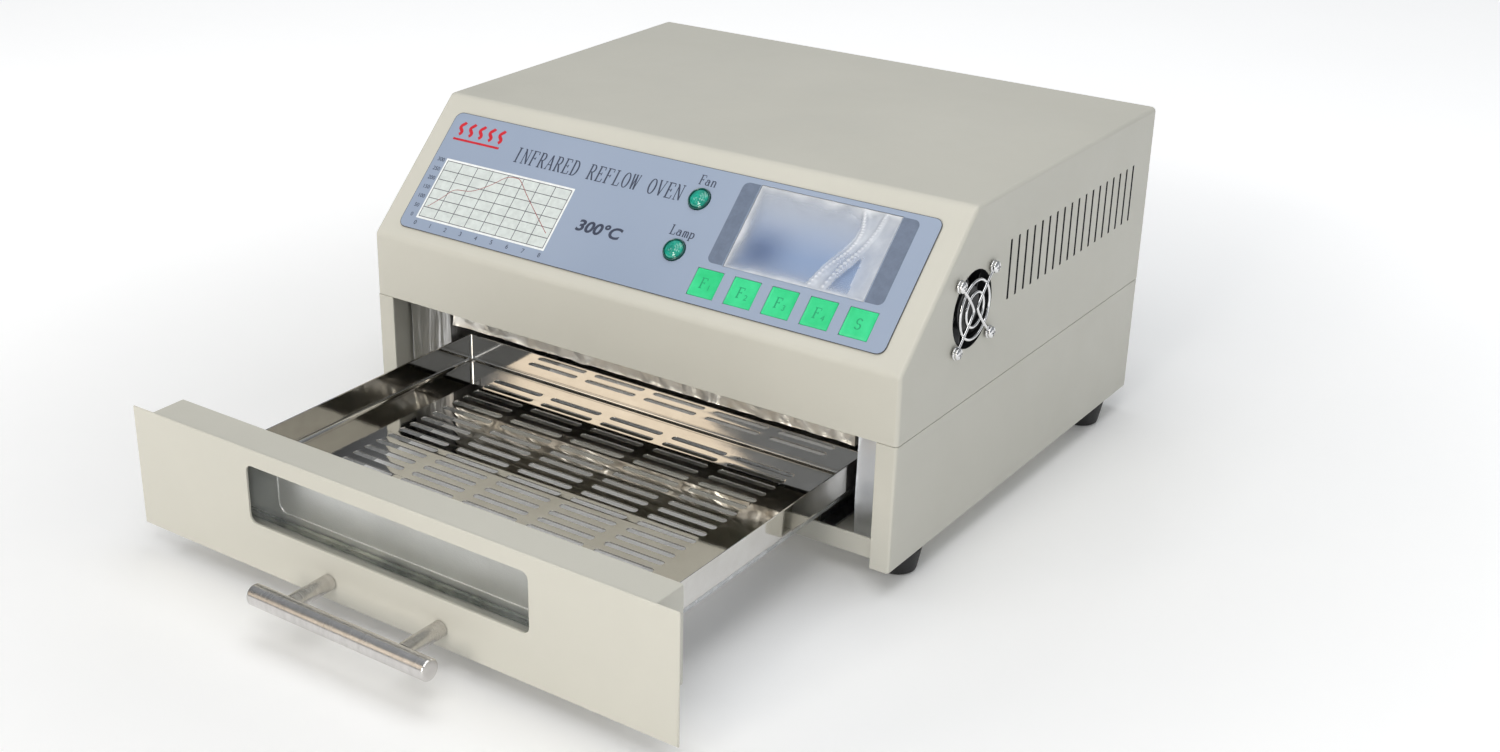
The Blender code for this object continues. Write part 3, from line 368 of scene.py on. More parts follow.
QUARTZ = glass("quartz_tube", (0.92, 0.91, 0.88), (0.12, 0.3), 1.46)
CERAMIC = surface("ceramic_cap", ((0.76, 0.73, 0.66), (0.84, 0.81, 0.75)), (0.5, 0.7), patch=200.0,
                  depth=0.00003)
COIL = surface("heater_wire", ((0.2, 0.13, 0.09), (0.34, 0.24, 0.18)), (0.35, 0.55), patch=200.0,
               Metallic=1.0)
BOARD = solder_mask("circuit_board_mask")
WHITE_INK = ink("white_ink", (0.8, 0.82, 0.82))
CHART_INK = ink("chart_ground_ink", (0.62, 0.665, 0.65))
GRID_INK = ink("grid_ink", (0.075, 0.08, 0.095))
TEXT_INK = ink("text_ink", (0.04, 0.05, 0.085))
# Dark line round the overlay: a painted shadow along the label's edge, not printed ink.
OVERLAY_SHADOW_INK = ink("overlay_shadow_line_paint", (0.06, 0.062, 0.07))
RED_INK = ink("red_ink", (0.56, 0.012, 0.025))
CURVE_INK = ink("curve_ink", (0.3, 0.055, 0.05))
BAR_INK = ink("screen_border_ink", (0.135, 0.17, 0.24))

MATERIAL_OF = {
    "ivory_paint": IVORY, "mirror_steel": MIRROR, "zinc_plate": ZINC, "brushed_steel": POST_STEEL,
    "chrome": CHROME, "foil": FOIL, "black_rubber": RUBBER, "black_plastic": PLASTIC,
    "overlay_film": FILM, "green_key": GREEN_KEY, "green_lens": LENS, "clear_film": SCREEN_FILM,
    "screen_glass": SCREEN_FACE, "window_glass": WINDOW, "quartz": QUARTZ, "circuit_board": BOARD,
}


# ---- mesh builders ---------------------------------------------------------------------------
def placed(name, data):
    """A new object in the scene."""
    item = bpy.data.objects.new(name, data)
    bpy.context.scene.collection.objects.link(item)
    return item


def written(name, bm):
    """A mesh from a bmesh, which is freed."""
    mesh = bpy.data.meshes.new(name)
    bm.to_mesh(mesh)
    bm.free()
    return mesh


def settled(name, data, cutter=None):
    """The mesh that an object with this data evaluates to, with a cutter's mesh taken out of it."""
    made = [placed(name, data)]
    if cutter:
        made.append(placed("cutter", cutter))
        step = made[0].modifiers.new("cut", "BOOLEAN")
        step.operation = "DIFFERENCE"
        step.object = made[1]
    bpy.context.view_layer.update()
    mesh = bpy.data.meshes.new_from_object(made[0].evaluated_get(bpy.context.evaluated_depsgraph_get()))
    for item in made:
        bpy.data.objects.remove(item)
    return mesh


def circle(radius, sides, x=0.0, y=0.0):
    return [(x + radius * cos(tau * k / sides), y + radius * sin(tau * k / sides))
            for k in range(sides)]


def box(low, high, radius=0.0, steps=2):
    bm = bmesh.new()
    bmesh.ops.create_cube(bm, size=1.0)
    low, high = Vector(low), Vector(high)
    for vertex in bm.verts:
        vertex.co = Vector(low[i] + (high[i] - low[i]) * (vertex.co[i] + 0.5) for i in range(3))
    if radius:
        bmesh.ops.bevel(bm, geom=bm.edges, offset=radius, segments=steps, profile=0.5, affect="EDGES")
    return bm


def skin(loops, closed=False, capped=True):
    """Joins loops of equal length with quads, and caps the two ends or closes the row on itself."""
    bm = bmesh.new()
    rows = [[bm.verts.new(point) for point in loop] for loop in loops]
    pairs = list(zip(rows, rows[1:]))
    if closed:
        pairs.append((rows[-1], rows[0]))
    for here, there in pairs:
        for k in range(len(here)):
            n = (k + 1) % len(here)
            bm.faces.new((here[k], here[n], there[n], there[k]))
    if capped and not closed:
        bm.faces.new(rows[0])
        bm.faces.new(rows[-1])
    bmesh.ops.recalc_face_normals(bm, faces=bm.faces)
    return bm


def turned(profile, sides=32, closed=False):
    """A profile of (radius, height) turned round Z; a solid's ends are capped flat."""
    return skin([[(x, y, z) for x, y in circle(r, sides)] for r, z in profile], closed)


def swept(points, radius, sides=10, closed=False):
    """A round wire along points, its rings kept from twisting."""
    points = [Vector(point) for point in points]
    count = len(points)
    side = None
    loops = []
    for i, point in enumerate(points):
        before = points[i - 1] if closed or i else point
        after = points[(i + 1) % count] if closed or i < count - 1 else point
        along = (after - before).normalized()
        if side is None:
            side = along.orthogonal().normalized()
        side = (side - along * side.dot(along)).normalized()
        up = along.cross(side)
        loops.append([point + side * x + up * y for x, y in circle(radius, sides)])
    return skin(loops, closed)


def merged(parts):
    """Several meshes as one; each part is freed."""
    bm = bmesh.new()
    for part in parts:
        mesh = written("part", part)
        bm.from_mesh(mesh)
        bpy.data.meshes.remove(mesh)
    return bm


def shift(x, y, z):
    return Matrix.Translation((x, y, z))


def turn(axis, degrees=90):
    return Matrix.Rotation(radians(degrees), 4, axis)


def moved(bm, matrix):
    bm.transform(matrix)
    return bm


def rounded(left, right, low, high, radius, steps=6):
    """Outline of a rectangle with rounded corners."""
    corners = ((right - radius, high - radius, 0), (left + radius, high - radius, 90),
               (left + radius, low + radius, 180), (right - radius, low + radius, 270))
    return [(x + radius * cos(radians(begin + 90 * k / steps)),
             y + radius * sin(radians(begin + 90 * k / steps)))
            for x, y, begin in corners for k in range(steps + 1)]


def plate(outline, low, high):
    """A flat outline in XY given a thickness."""
    return skin([[(x, y, low) for x, y in outline], [(x, y, high) for x, y in outline]])


def ribbon(points, width, low, high):
    """A printed line through points in XY; its width is one number or one for each point."""
    points = [Vector(point) for point in points]
    loops = []
    for i, point in enumerate(points):
        along = (points[min(i + 1, len(points) - 1)] - points[max(i - 1, 0)]).normalized()
        across = Vector((-along.y, along.x)) * (width[i] if isinstance(width, list) else width) / 2
        l, r = point + across, point - across
        loops.append([(l.x, l.y, low), (r.x, r.y, low), (r.x, r.y, high), (l.x, l.y, high)])
    return skin(loops)


def smooth_path(points, per_span=8):
    """A rounded curve through points, as Catmull and Rom describe it."""
    points = [Vector(point) for point in points]
    ends = [points[0] * 2 - points[1], *points, points[-1] * 2 - points[-2]]
    path = []
    for a, b, c, d in zip(ends, ends[1:], ends[2:], ends[3:]):
        for k in range(per_span):
            t = k / per_span
            path.append(0.5 * ((2 * b) + (c - a) * t + (2 * a - 5 * b + 4 * c - d) * t ** 2
                               + (3 * b - a - 3 * c + d) * t ** 3))
    path.append(points[-1])
    return path


def show(name, bm, material, body, stands_for=(), sharp=32.0):
    """Turns a mesh into a piece that rides on a body and stands for the named CAD nodes."""
    mesh = written(name, bm) if isinstance(bm, bmesh.types.BMesh) else bm
    mesh.materials.clear()
    mesh.materials.append(material)
    mesh.shade_smooth()
    mesh.set_sharp_from_angle(angle=radians(sharp))
    item = placed(name, mesh)
    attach(item, body)
    if stands_for:
        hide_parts(*stands_for)
    return item


def flat_shaded(item):
    """Shades a piece so that its big faces stay flat beside its rounded edges."""
    item.modifiers.new("flat_faces", "WEIGHTED_NORMAL").keep_sharp = True
    return item


def round_edges(item, width, segments, angle):
    """Rounds a piece's sharp edges."""
    step = item.modifiers.new("rounding", "BEVEL")
    step.width = width
    step.segments = segments
    step.limit_method = "ANGLE"
    step.angle_limit = radians(angle)
    step.use_clamp_overlap = True
    return flat_shaded(item)


def tinted(item, shade):
    """Lays a tone on each corner of a piece; shade takes a point and gives red, green and blue."""
    layer = item.data.color_attributes.new("tone", "FLOAT_COLOR", "POINT")
    for vertex, tone in zip(item.data.vertices, layer.data):
        tone.color = (*shade(vertex.co), 1.0)


def cad_copy(node):
    """A CAD node's own shape with its flat faces merged."""
    bm = bmesh.new()
    bm.from_mesh(NODES[node].data)
    bmesh.ops.remove_doubles(bm, verts=bm.verts, dist=0.000002)
    bmesh.ops.dissolve_limit(bm, angle_limit=radians(0.6), verts=bm.verts, edges=bm.edges)
    return bm


def stand_in(node, bm, material, sharp=32.0, name=None):
    """Shows a mesh in place of a CAD node, on the node's body."""
    return show(name or f"{node}_fine", bm, material, NODES[node]["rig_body"], (node,), sharp)


def refined(node, width, material=None, segments=2, angle=38.0, name=None):
    """Stands for a CAD node with the same shape, its edges rounded."""
    item = stand_in(node, cad_copy(node), material or MATERIAL_OF[SLOT_OF[node]], angle, name)
    return round_edges(item, width, segments, angle)


def extent(node):
    """A CAD node's lowest and highest corners and its middle."""
    low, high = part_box(node)
    return low, high, (low + high) / 2


def carved(bm, cutter):
    """A mesh with another closed mesh cut out of it."""
    mesh = settled("carving", written("carving", bm), written("carving", cutter))
    result = bmesh.new()
    result.from_mesh(mesh)
    bpy.data.meshes.remove(mesh)
    return result


def filled(outlines, low, high, rounding=0.0):
    """A flat sheet between heights from closed outlines in XY; inner outlines become holes."""
    curve = bpy.data.curves.new("sheet", "CURVE")
    curve.dimensions = "2D"
    curve.fill_mode = "BOTH"
    curve.extrude = (high - low) / 2 - rounding
    curve.bevel_depth = rounding
    curve.bevel_resolution = 1
    curve.offset = -rounding
    for outline in outlines:
        spline = curve.splines.new("POLY")
        spline.points.add(len(outline) - 1)
        for point, (x, y) in zip(spline.points, outline):
            point.co = (x, y, 0.0, 1.0)
        spline.use_cyclic_u = True
    mesh = settled("sheet", curve)
    bm = bmesh.new()
    bm.from_mesh(mesh)
    bmesh.ops.remove_doubles(bm, verts=bm.verts, dist=0.000002)
    bmesh.ops.recalc_face_normals(bm, faces=bm.faces)
    bpy.data.meshes.remove(mesh)
    bpy.data.curves.remove(curve)
    return moved(bm, shift(0.0, 0.0, (low + high) / 2))


def crumpled(low, high, step, depth, seed, stretch=(1.0, 1.0, 1.0), size=70.0):
    """A closed block of small quads whose skin is pushed inwards along creases."""
    low, high = Vector(low), Vector(high)
    counts = [max(2, round((high[i] - low[i]) / step)) for i in range(3)]
    bm = bmesh.new()
    found = {}

    def corner(key):
        if key not in found:
            found[key] = bm.verts.new([low[i] + (high[i] - low[i]) * key[i] / counts[i] for i in range(3)])
        return found[key]

    for axis in range(3):
        b, c = (axis + 1) % 3, (axis + 2) % 3
        for level in (0, counts[axis]):
            for p in range(counts[b]):
                for q in range(counts[c]):
                    keys = []
                    for dp, dq in ((0, 0), (1, 0), (1, 1), (0, 1)):
                        key = [0, 0, 0]
                        key[axis], key[b], key[c] = level, p + dp, q + dq
                        keys.append(tuple(key))
                    bm.faces.new([corner(key) for key in keys])
    bmesh.ops.recalc_face_normals(bm, faces=bm.faces)
    bm.normal_update()
    offset = Vector((seed * 3.7, seed * 1.3, seed * 5.1))
    pushes = []
    for vertex in bm.verts:
        at = Vector(vertex.co[i] * stretch[i] for i in range(3)) * size + offset
        broad = 1.0 - abs(noise.noise(at))
        sharp = 1.0 - abs(noise.noise(at * 2.7 + offset)) * 2.0
        fine = noise.noise(at * 6.1)
        pushes.append(depth * (0.15 + 0.55 * broad + 0.22 * sharp + 0.08 * fine))
    for vertex, push in zip(bm.verts, pushes):
        vertex.co -= vertex.normal * push
    return bm


def lettering(name, words, centre, width, height, material, lift=PRINT, bold=0.0, slant=0.0):
    """Printed words on the panel, fitted to a width and height round a centre (u, v)."""
    curve = bpy.data.curves.new(name, "FONT")
    curve.body = words
    curve.size = height * 1.4
    curve.offset = bold
    curve.shear = slant
    curve.extrude = PRINT / 2
    curve.resolution_u = 4
    mesh = settled(name, curve)
    bpy.data.curves.remove(curve)
    xs = [vertex.co.x for vertex in mesh.vertices]
    ys = [vertex.co.y for vertex in mesh.vertices]
    wide = max(xs) - min(xs)
    tall = max(ys) - min(ys)
    scale_x = width / wide if width else height / tall
    fit = Matrix.Diagonal((scale_x, height / tall, 1.0, 1.0))
    middle = shift(-(max(xs) + min(xs)) / 2, -(max(ys) + min(ys)) / 2, 0.0)
    mesh.transform(PANEL @ shift(*centre, lift + PRINT / 2) @ fit @ middle)
    mesh.name = name
    return show(name, mesh, material, "case")


# ---- casing ----------------------------------------------------------------------------------
def dark_inside(item, sheet=0.0014):
    """Gives the cover's inner faces and the walls of its side openings the near-black bare sheet: painted shade
    that darkens the inside and the louvre slots.
    """
    item.data.materials.append(SHADED_INSIDE_SHEET)
    low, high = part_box("top_cover")
    for face in item.data.polygons:
        at = face.center
        inward = face.normal.x * at.x < -0.5 * abs(at.x) and abs(at.x) < high.x - sheet * 0.5
        under = face.normal.z < -0.5 and at.z > high.z - 2 * sheet
        opening = abs(at.x) > high.x - sheet and abs(face.normal.x) < 0.3 and face.area < 0.0001 \
            and low.z + 0.005 < at.z < high.z - 0.008 and at.y > low.y + 0.02
        if inward or under or opening:
            face.material_index = 1


def make_casing():
    for node in ("base_chassis", "top_cover", "drawer_front"):
        item = refined(node, 0.0003)
        if node == "top_cover":
            dark_inside(item)
    refined("rear_panel", 0.0002)
    refined("drawer_back_plate", 0.0001, PLATE)
    refined("window_glass", 0.0003)
    make_gasket()
    low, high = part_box("rear_panel")
    places = [(side, height) for side in (-1, 1) for height in (0.03, 0.5, 0.97)]
    for number, (side, height) in enumerate(places, 1):
        place = shift(side * (high.x - 0.006), high.y, low.z + (high.z - low.z) * height) @ turn("X", -90)
        show(f"rear_screw_{number}", moved(cross_screw(0.0028, 0.0014), place), CHROME, "case")


def make_gasket():
    """Crushed foil seal lying in the drawer box's bottom corner, seen through the window; its dark greenish tone
    is painted shade at the window's bottom.
    """
    low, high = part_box("drawer_back_plate")
    front, rear = low.y - 0.0032, low.y - 0.0002
    bottom = low.z
    bm = crumpled((low.x + 0.004, front, bottom), (high.x - 0.004, rear, bottom + 0.0034), 0.0008, 0.0007, 7.0,
                  (0.3, 1.0, 1.0), 150.0)
    show("window_seal", bm, SHADED_SEAL_FOIL, "drawer", sharp=75)


def cross_screw(radius, height):
    """A pan-head screw's head on the XY plane with a cross recess."""
    profile = [(radius * 0.98, -0.0004), (radius, height * 0.25)]
    for k in range(1, 6):
        angle = radians(90 * k / 5)
        profile.append((radius * (0.18 + 0.82 * cos(angle)), height * (0.25 + 0.75 * sin(angle))))
    bar = radius * 0.62
    thin = radius * 0.13
    corner = ((bar, -thin), (bar, thin), (thin, thin))
    cross = [(x * c - y * s, x * s + y * c) for c, s in ((1, 0), (0, 1), (-1, 0), (0, -1)) for x, y in corner]
    return carved(turned(profile, 28), plate(cross, height * 0.45, height * 2))


def make_feet():
    for end in ("front", "rear"):
        for side in ("left", "right"):
            node = f"foot_{end}_{side}"
            low, high, middle = extent(node)
            tall = high.z - low.z
            wide = (high.x - low.x) / 2
            foot = wide * 0.79
            profile = [(foot * 0.45, tall * 0.3), (foot * 0.45, tall * 0.02), (foot * 0.52, 0.0),
                       (foot * 0.93, 0.0), (foot, tall * 0.04), (foot * 1.03, tall * 0.1),
                       (wide * 0.985, tall * 0.93), (wide, tall * 0.97), (wide * 0.99, tall)]
            stand_in(node, moved(turned(profile, 48), shift(middle.x, middle.y, low.z)), RUBBER, 50)
            screw = shift(middle.x, middle.y, low.z + tall * 0.29) @ turn("X", 180)
            show(f"{node}_screw", moved(cross_screw(foot * 0.36, 0.0014), screw), CHROME, "case")


# ---- control panel ---------------------------------------------------------------------------
# Left, right, low and high edges on the panel.
CHART = (-0.134, -0.05, 0.0136, 0.0494)
SCREEN = (0.048, 0.1228, 0.0294, 0.0735)
CHART_COLUMNS = 8
CHART_ROWS = 6
PROFILE = ((0.03, 0.18), (0.11, 0.4), (0.165, 0.55), (0.29, 0.6), (0.4, 0.76), (0.49, 0.95), (0.56, 0.985),
           (0.61, 0.95), (0.72, 0.72), (0.97, 0.24))
NARROW = 0.1
BROAD = 0.2

# Each letter is drawn in a box one wide and one tall.  A thin or broad stroke has its points' across and
# up; an arc has its centre, its half width and half height, and the degrees where it begins and ends.
SERIF = {
    "I": "broad .5 0 .5 1, thin .26 0 .74 0, thin .26 1 .74 1",
    "N": "thin .17 0 .17 1, broad .14 1 .83 0, thin .83 0 .83 1, thin .02 0 .34 0, thin .66 1 1 1, "
         "thin 0 1 .18 1",
    "F": "broad .24 0 .24 1, thin .04 1 .88 1, thin .88 1 .9 .8, thin .24 .52 .64 .52, "
         "thin .64 .62 .64 .42, thin .04 0 .46 0",
    "E": "broad .24 0 .24 1, thin .04 1 .86 1, thin .86 1 .88 .8, thin .24 .52 .62 .52, "
         "thin .62 .62 .62 .42, thin .04 0 .9 0, thin .9 0 .94 .22",
    "L": "broad .28 0 .28 1, thin .06 1 .5 1, thin .06 0 .88 0, thin .88 0 .93 .24",
    "A": "thin .14 0 .5 1, broad .5 1 .86 0, thin .25 .33 .75 .33, thin 0 0 .28 0, thin .7 0 1 0",
    "V": "broad .12 1 .5 0, thin .5 0 .86 1, thin 0 1 .28 1, thin .72 1 1 1",
    "W": "broad .08 1 .29 0, thin .29 0 .49 .92, broad .47 1 .7 0, thin .7 0 .92 1, thin 0 1 .2 1, "
         "thin .38 1 .58 1, thin .82 1 1 1",
    "R": "broad .22 0 .22 1, thin .03 1 .5 1, arc .5 .755 .28 .245 90 -90, thin .22 .51 .5 .51, "
         "broad .46 .51 .86 0, thin .03 0 .42 0, thin .76 0 1 0",
    "D": "broad .22 0 .22 1, thin .03 1 .44 1, arc .44 .5 .45 .5 90 -90, thin .03 0 .44 0",
    "O": "arc .5 .5 .4 .5 90 450",
    "S": "arc .5 .74 .32 .26 20 270, arc .5 .25 .34 .25 90 -160",
    "a": "arc .42 .22 .28 .2 0 360, broad .72 0 .72 .42, arc .44 .42 .28 .18 0 150, thin .72 .02 .9 .02",
    "n": "broad .2 0 .2 .6, arc .48 .38 .28 .22 150 0, broad .76 0 .76 .4, thin .06 0 .36 0, "
         "thin .6 0 .92 0, thin .04 .6 .2 .6",
    "m": "broad .14 0 .14 .6, arc .32 .4 .18 .2 150 0, broad .5 0 .5 .42, arc .68 .4 .18 .2 150 0, "
         "broad .86 0 .86 .42, thin .04 0 .26 0, thin .4 0 .62 0, thin .76 0 1 0",
    "p": "broad .2 -.26 .2 .6, arc .46 .3 .3 .29 150 -150, thin .04 -.26 .38 -.26, thin .04 .6 .2 .6",
}


def on_panel(name, bm, material, stands_for=(), body="case", sharp=32.0):
    return show(name, moved(bm, PANEL), material, body, stands_for, sharp)


def letter_strokes(letter, left, low, wide, tall, lift, weight):
    """The strokes of one serif letter, as thin ribbons with its lower left corner at (left, low)."""
    strips = []
    for number, stroke in enumerate(SERIF[letter].split(",")):
        kind, *values = stroke.split()
        values = [float(value) for value in values]
        if kind == "arc":
            cx, cy, rx, ry, begin, end = values
            angles = [radians(begin + (end - begin) * k / 20) for k in range(21)]
            path = [(cx + rx * cos(a), cy + ry * sin(a)) for a in angles]
            heavy = [NARROW + (BROAD - NARROW) * abs(cos(a)) for a in angles]
        else:
            path = list(zip(values[::2], values[1::2]))
            heavy = [BROAD if kind == "broad" else NARROW] * len(path)
        points = [(left + x * wide, low + y * tall) for x, y in path]
        strips.append(ribbon(points, [h * weight for h in heavy], lift, lift + PRINT * (1.0 + 0.03 * number)))
    return strips


def serif_words(name, words, left, low, pitch, tall, material, lift=0.0, narrow=0.8, weight=None):
    """Printed serif words whose letters stand an even pitch apart."""
    strips = []
    for k, letter in enumerate(words):
        if letter != " ":
            strips += letter_strokes(letter, left + k * pitch, low, pitch * narrow, tall, lift,
                                     weight or pitch * narrow)
    return on_panel(name, merged(strips), material)


def make_chart():
    """Temperature chart with a thin grid, its axis numbers and the heating curve."""
    left, right, low, high = CHART
    border = 0.0013
    on_panel("chart_border", plate(rounded(left, right, low, high, 0.0003, 2), 0.0, PRINT), WHITE_INK)
    inner = (left + border, right - border, low + border, high - border)
    on_panel("chart_ground", plate(rounded(*inner, 0.0002, 2), PRINT * 0.5, PRINT * 1.2), CHART_INK)
    columns = [inner[0] + (inner[1] - inner[0]) * k / CHART_COLUMNS for k in range(CHART_COLUMNS + 1)]
    rows = [inner[2] + (inner[3] - inner[2]) * k / CHART_ROWS for k in range(CHART_ROWS + 1)]
    lines = [ribbon([(x, inner[2]), (x, inner[3])], 0.00036, PRINT, 1.7 * PRINT) for x in columns]
    lines += [ribbon([(inner[0], y), (inner[1], y)], 0.00036, 1.05 * PRINT, 1.75 * PRINT) for y in rows]
    on_panel("chart_grid", merged(lines), GRID_INK)
    curve = smooth_path([(inner[0] + across * (inner[1] - inner[0]), inner[2] + up * (inner[3] - inner[2]))
                         for across, up in PROFILE], 5)
    on_panel("chart_curve", ribbon(curve, 0.00034, 1.8 * PRINT, 2.4 * PRINT), CURVE_INK)
    for k, x in enumerate(columns):
        lettering(f"chart_minute_{k}", str(k), (x, low - 0.0027), 0, 0.0024, TEXT_INK)
    for k, y in enumerate(rows):
        lettering(f"chart_degree_{k * 50}", str(k * 50), (left - 0.0034, y), 0, 0.0022, TEXT_INK)


def make_heat_mark():
    """Rising heat waves over a bar, in red."""
    strips = []
    for k in range(5):
        x = -0.135 + k * 0.0066
        points = [(x + 0.0011 * sin(step / 12 * tau * 1.25), 0.064 + step * 0.00062)
                  for step in range(13)]
        strips.append(ribbon(points, 0.0019, 0.0, PRINT))
    strips.append(ribbon([(-0.1372, 0.0612), (-0.1064, 0.0612)], 0.0012, 0.0, PRINT))
    on_panel("heat_mark", merged(strips), RED_INK)


def make_prints():
    refined("control_overlay", 0.00008, FILM, 1)
    low, high, _ = panel_place("control_overlay")
    # A thin dark ring just outside the overlay's edge, beneath its top: painted shadow of the label's edge.
    edge = [rounded(low.x - grow, high.x + grow, low.y - grow, high.y + grow, 0.0042, 8)
            for grow in (0.00022, -0.00022)]
    on_panel("overlay_painted_shadow_line", filled(edge, low.z, -0.00006), OVERLAY_SHADOW_INK)
    make_chart()
    make_heat_mark()
    serif_words("panel_title", "INFRARED REFLOW OVEN", -0.095, 0.0562, 0.00525, 0.0082, TEXT_INK, narrow=0.84)
    lettering("panel_rating", "300\u00b0C", (-0.0255, 0.0318), 0.027, 0.0068, TEXT_INK, bold=0.0003, slant=0.15)
    serif_words("fan_label", "Fan", 0.0146, 0.067, 0.0034, 0.005, TEXT_INK, narrow=0.92, weight=0.0034)
    serif_words("lamp_label", "Lamp", 0.0122, 0.0386, 0.0037, 0.005, TEXT_INK, narrow=0.92, weight=0.0036)
    left, right, low, high = SCREEN
    reach = 0.009
    corner = 0.0032
    for name, side in (("left", -1), ("right", 1)):
        edge = left - 0.0006 if side < 0 else right + 0.0006
        outer = edge + side * reach
        steps = [radians(90 * k / 6) for k in range(7)]
        outline = [(edge, low), (edge, high)]
        outline += [(outer - side * corner * (1 - sin(a)), high - corner * (1 - cos(a))) for a in steps]
        outline += [(outer - side * corner * (1 - cos(a)), low + corner * (1 - sin(a))) for a in steps]
        on_panel(f"screen_border_{name}", plate(outline, 0.0, PRINT), BAR_INK)


TO_PANEL = PANEL.inverted()
# Screen tones: the pale one is a painted reflection over the screen's own blues.
DARK_TONE, PAINTED_REFLECTION_TONE = Vector((0.075, 0.125, 0.265)), Vector((0.52, 0.56, 0.64))
BLUE_TONE = Vector((0.26, 0.36, 0.56))


def make_screen_face():
    """Unlit screen, its colour deepening to the lower left; the paler upper part is a painted reflection."""
    refined("display_module", 0.0003, SCREEN_HOUSING)
    left, right, low, high = SCREEN
    overlap = 0.0012
    bm = bmesh.new()
    bmesh.ops.create_grid(bm, x_segments=60, y_segments=36, size=0.5)
    grow = Matrix.Diagonal((right - left + 2 * overlap, high - low + 2 * overlap, 1.0, 1.0))
    depth = min(panel_place("display_module")[1].z + 0.0002, -0.0012)
    middle = shift((left + right) / 2, (low + high) / 2, depth)
    face = on_panel("screen_face", moved(moved(bm, grow), middle), SCREEN_FACE)
    face.modifiers.new("thickness", "SOLIDIFY").thickness = 0.0002

    def shade(at):
        place = TO_PANEL @ at
        across = (place.x - left) / (right - left)
        up = (place.y - low) / (high - low)
        reflected = min(1.0, max(0.0, (up - 0.34) / 0.55 + 0.1 * noise.noise(Vector((across, up, 1.0)) * 3.0)))
        patch = exp(-((across - 0.16) / 0.17) ** 2 - ((up - 0.28) / 0.26) ** 2)
        return BLUE_TONE.lerp(PAINTED_REFLECTION_TONE, reflected).lerp(DARK_TONE, min(1.0, 0.95 * patch))

    tinted(face, shade)


FILM_CELLS = (110, 66)
FILM_THICK = 0.00012
# Two creases, from the screen's upper edge to its lower edge.
CREASES = (((0.1035, 0.0735), (0.1058, 0.068), (0.1075, 0.06), (0.105, 0.051), (0.0985, 0.041), (0.093, 0.0294)),
           ((0.115, 0.0725), (0.114, 0.064), (0.111, 0.054), (0.105, 0.043), (0.1, 0.0294)))


def make_screen_film():
    """Loose protective film: it stands up in two creases, which carry painted white highlights, and is milky at
    its edges.
    """
    left, right, low, high = SCREEN
    across, up = FILM_CELLS
    paths = [[Vector(point) for point in smooth_path(crease, 6)] for crease in CREASES]

    def near(x, y):
        here = Vector((x, y))
        return [min((here - point).length for point in path) for path in paths]

    def height(x, y):
        rise = -0.00045 + 0.00025 * noise.noise(Vector((x, y, 0.3)) * 60.0)
        rise += 0.00012 * noise.noise(Vector((x * 2.5, y, 4.0)) * 160.0)
        for gap, tall, wide in zip(near(x, y), (0.0013, 0.001), (0.0015, 0.0012)):
            rise += tall * exp(-(gap / wide) ** 2)
        edge = min(x - left, right - x, y - low, high - y)
        return rise * min(1.0, edge / 0.004 + 0.2) - 0.0002 * max(0.0, 1 - edge / 0.003)

    rows = []
    for j in range(up + 1):
        y = low + (high - low) * j / up
        top = [(x, y, height(x, y)) for x in (left + (right - left) * i / across for i in range(across + 1))]
        rows.append(top + [(x, y, z - FILM_THICK) for x, y, z in reversed(top)])
    film = on_panel("screen_film", skin(rows), SCREEN_FILM, ("display_window",), sharp=60)
    loose_from = (paths[1][0].x + paths[0][0].x) / 2 + 0.004

    def milk(at):
        x, y, _ = TO_PANEL @ at
        ragged = 0.0022 * noise.noise(Vector((x, y, 2.0)) * 110.0)
        sides = min((x - left) * 1.3, (high - y) * 0.8, (y - low) * 1.8) + ragged
        first, second = near(x, y)
        # The two crease terms are painted highlights; the edge term is the film's own milkiness.
        value = max(0.75 * exp(-max(0.0, sides) / 0.0042), 0.95 * exp(-(first / 0.0009) ** 2),
                    0.85 * exp(-(second / 0.001) ** 2))
        if first + second < 0.0105 or x > loose_from + ragged:
            value = max(value, 0.42 + 60.0 * ragged)
        return value, value, value

    tinted(film, milk)


def panel_place(node):
    """A node's lowest and highest corners and its middle, in panel directions."""
    points = [TO_PANEL @ vertex.co for vertex in NODES[node].data.vertices]
    low = Vector(min(point[i] for point in points) for i in range(3))
    high = Vector(max(point[i] for point in points) for i in range(3))
    return low, high, (low + high) / 2


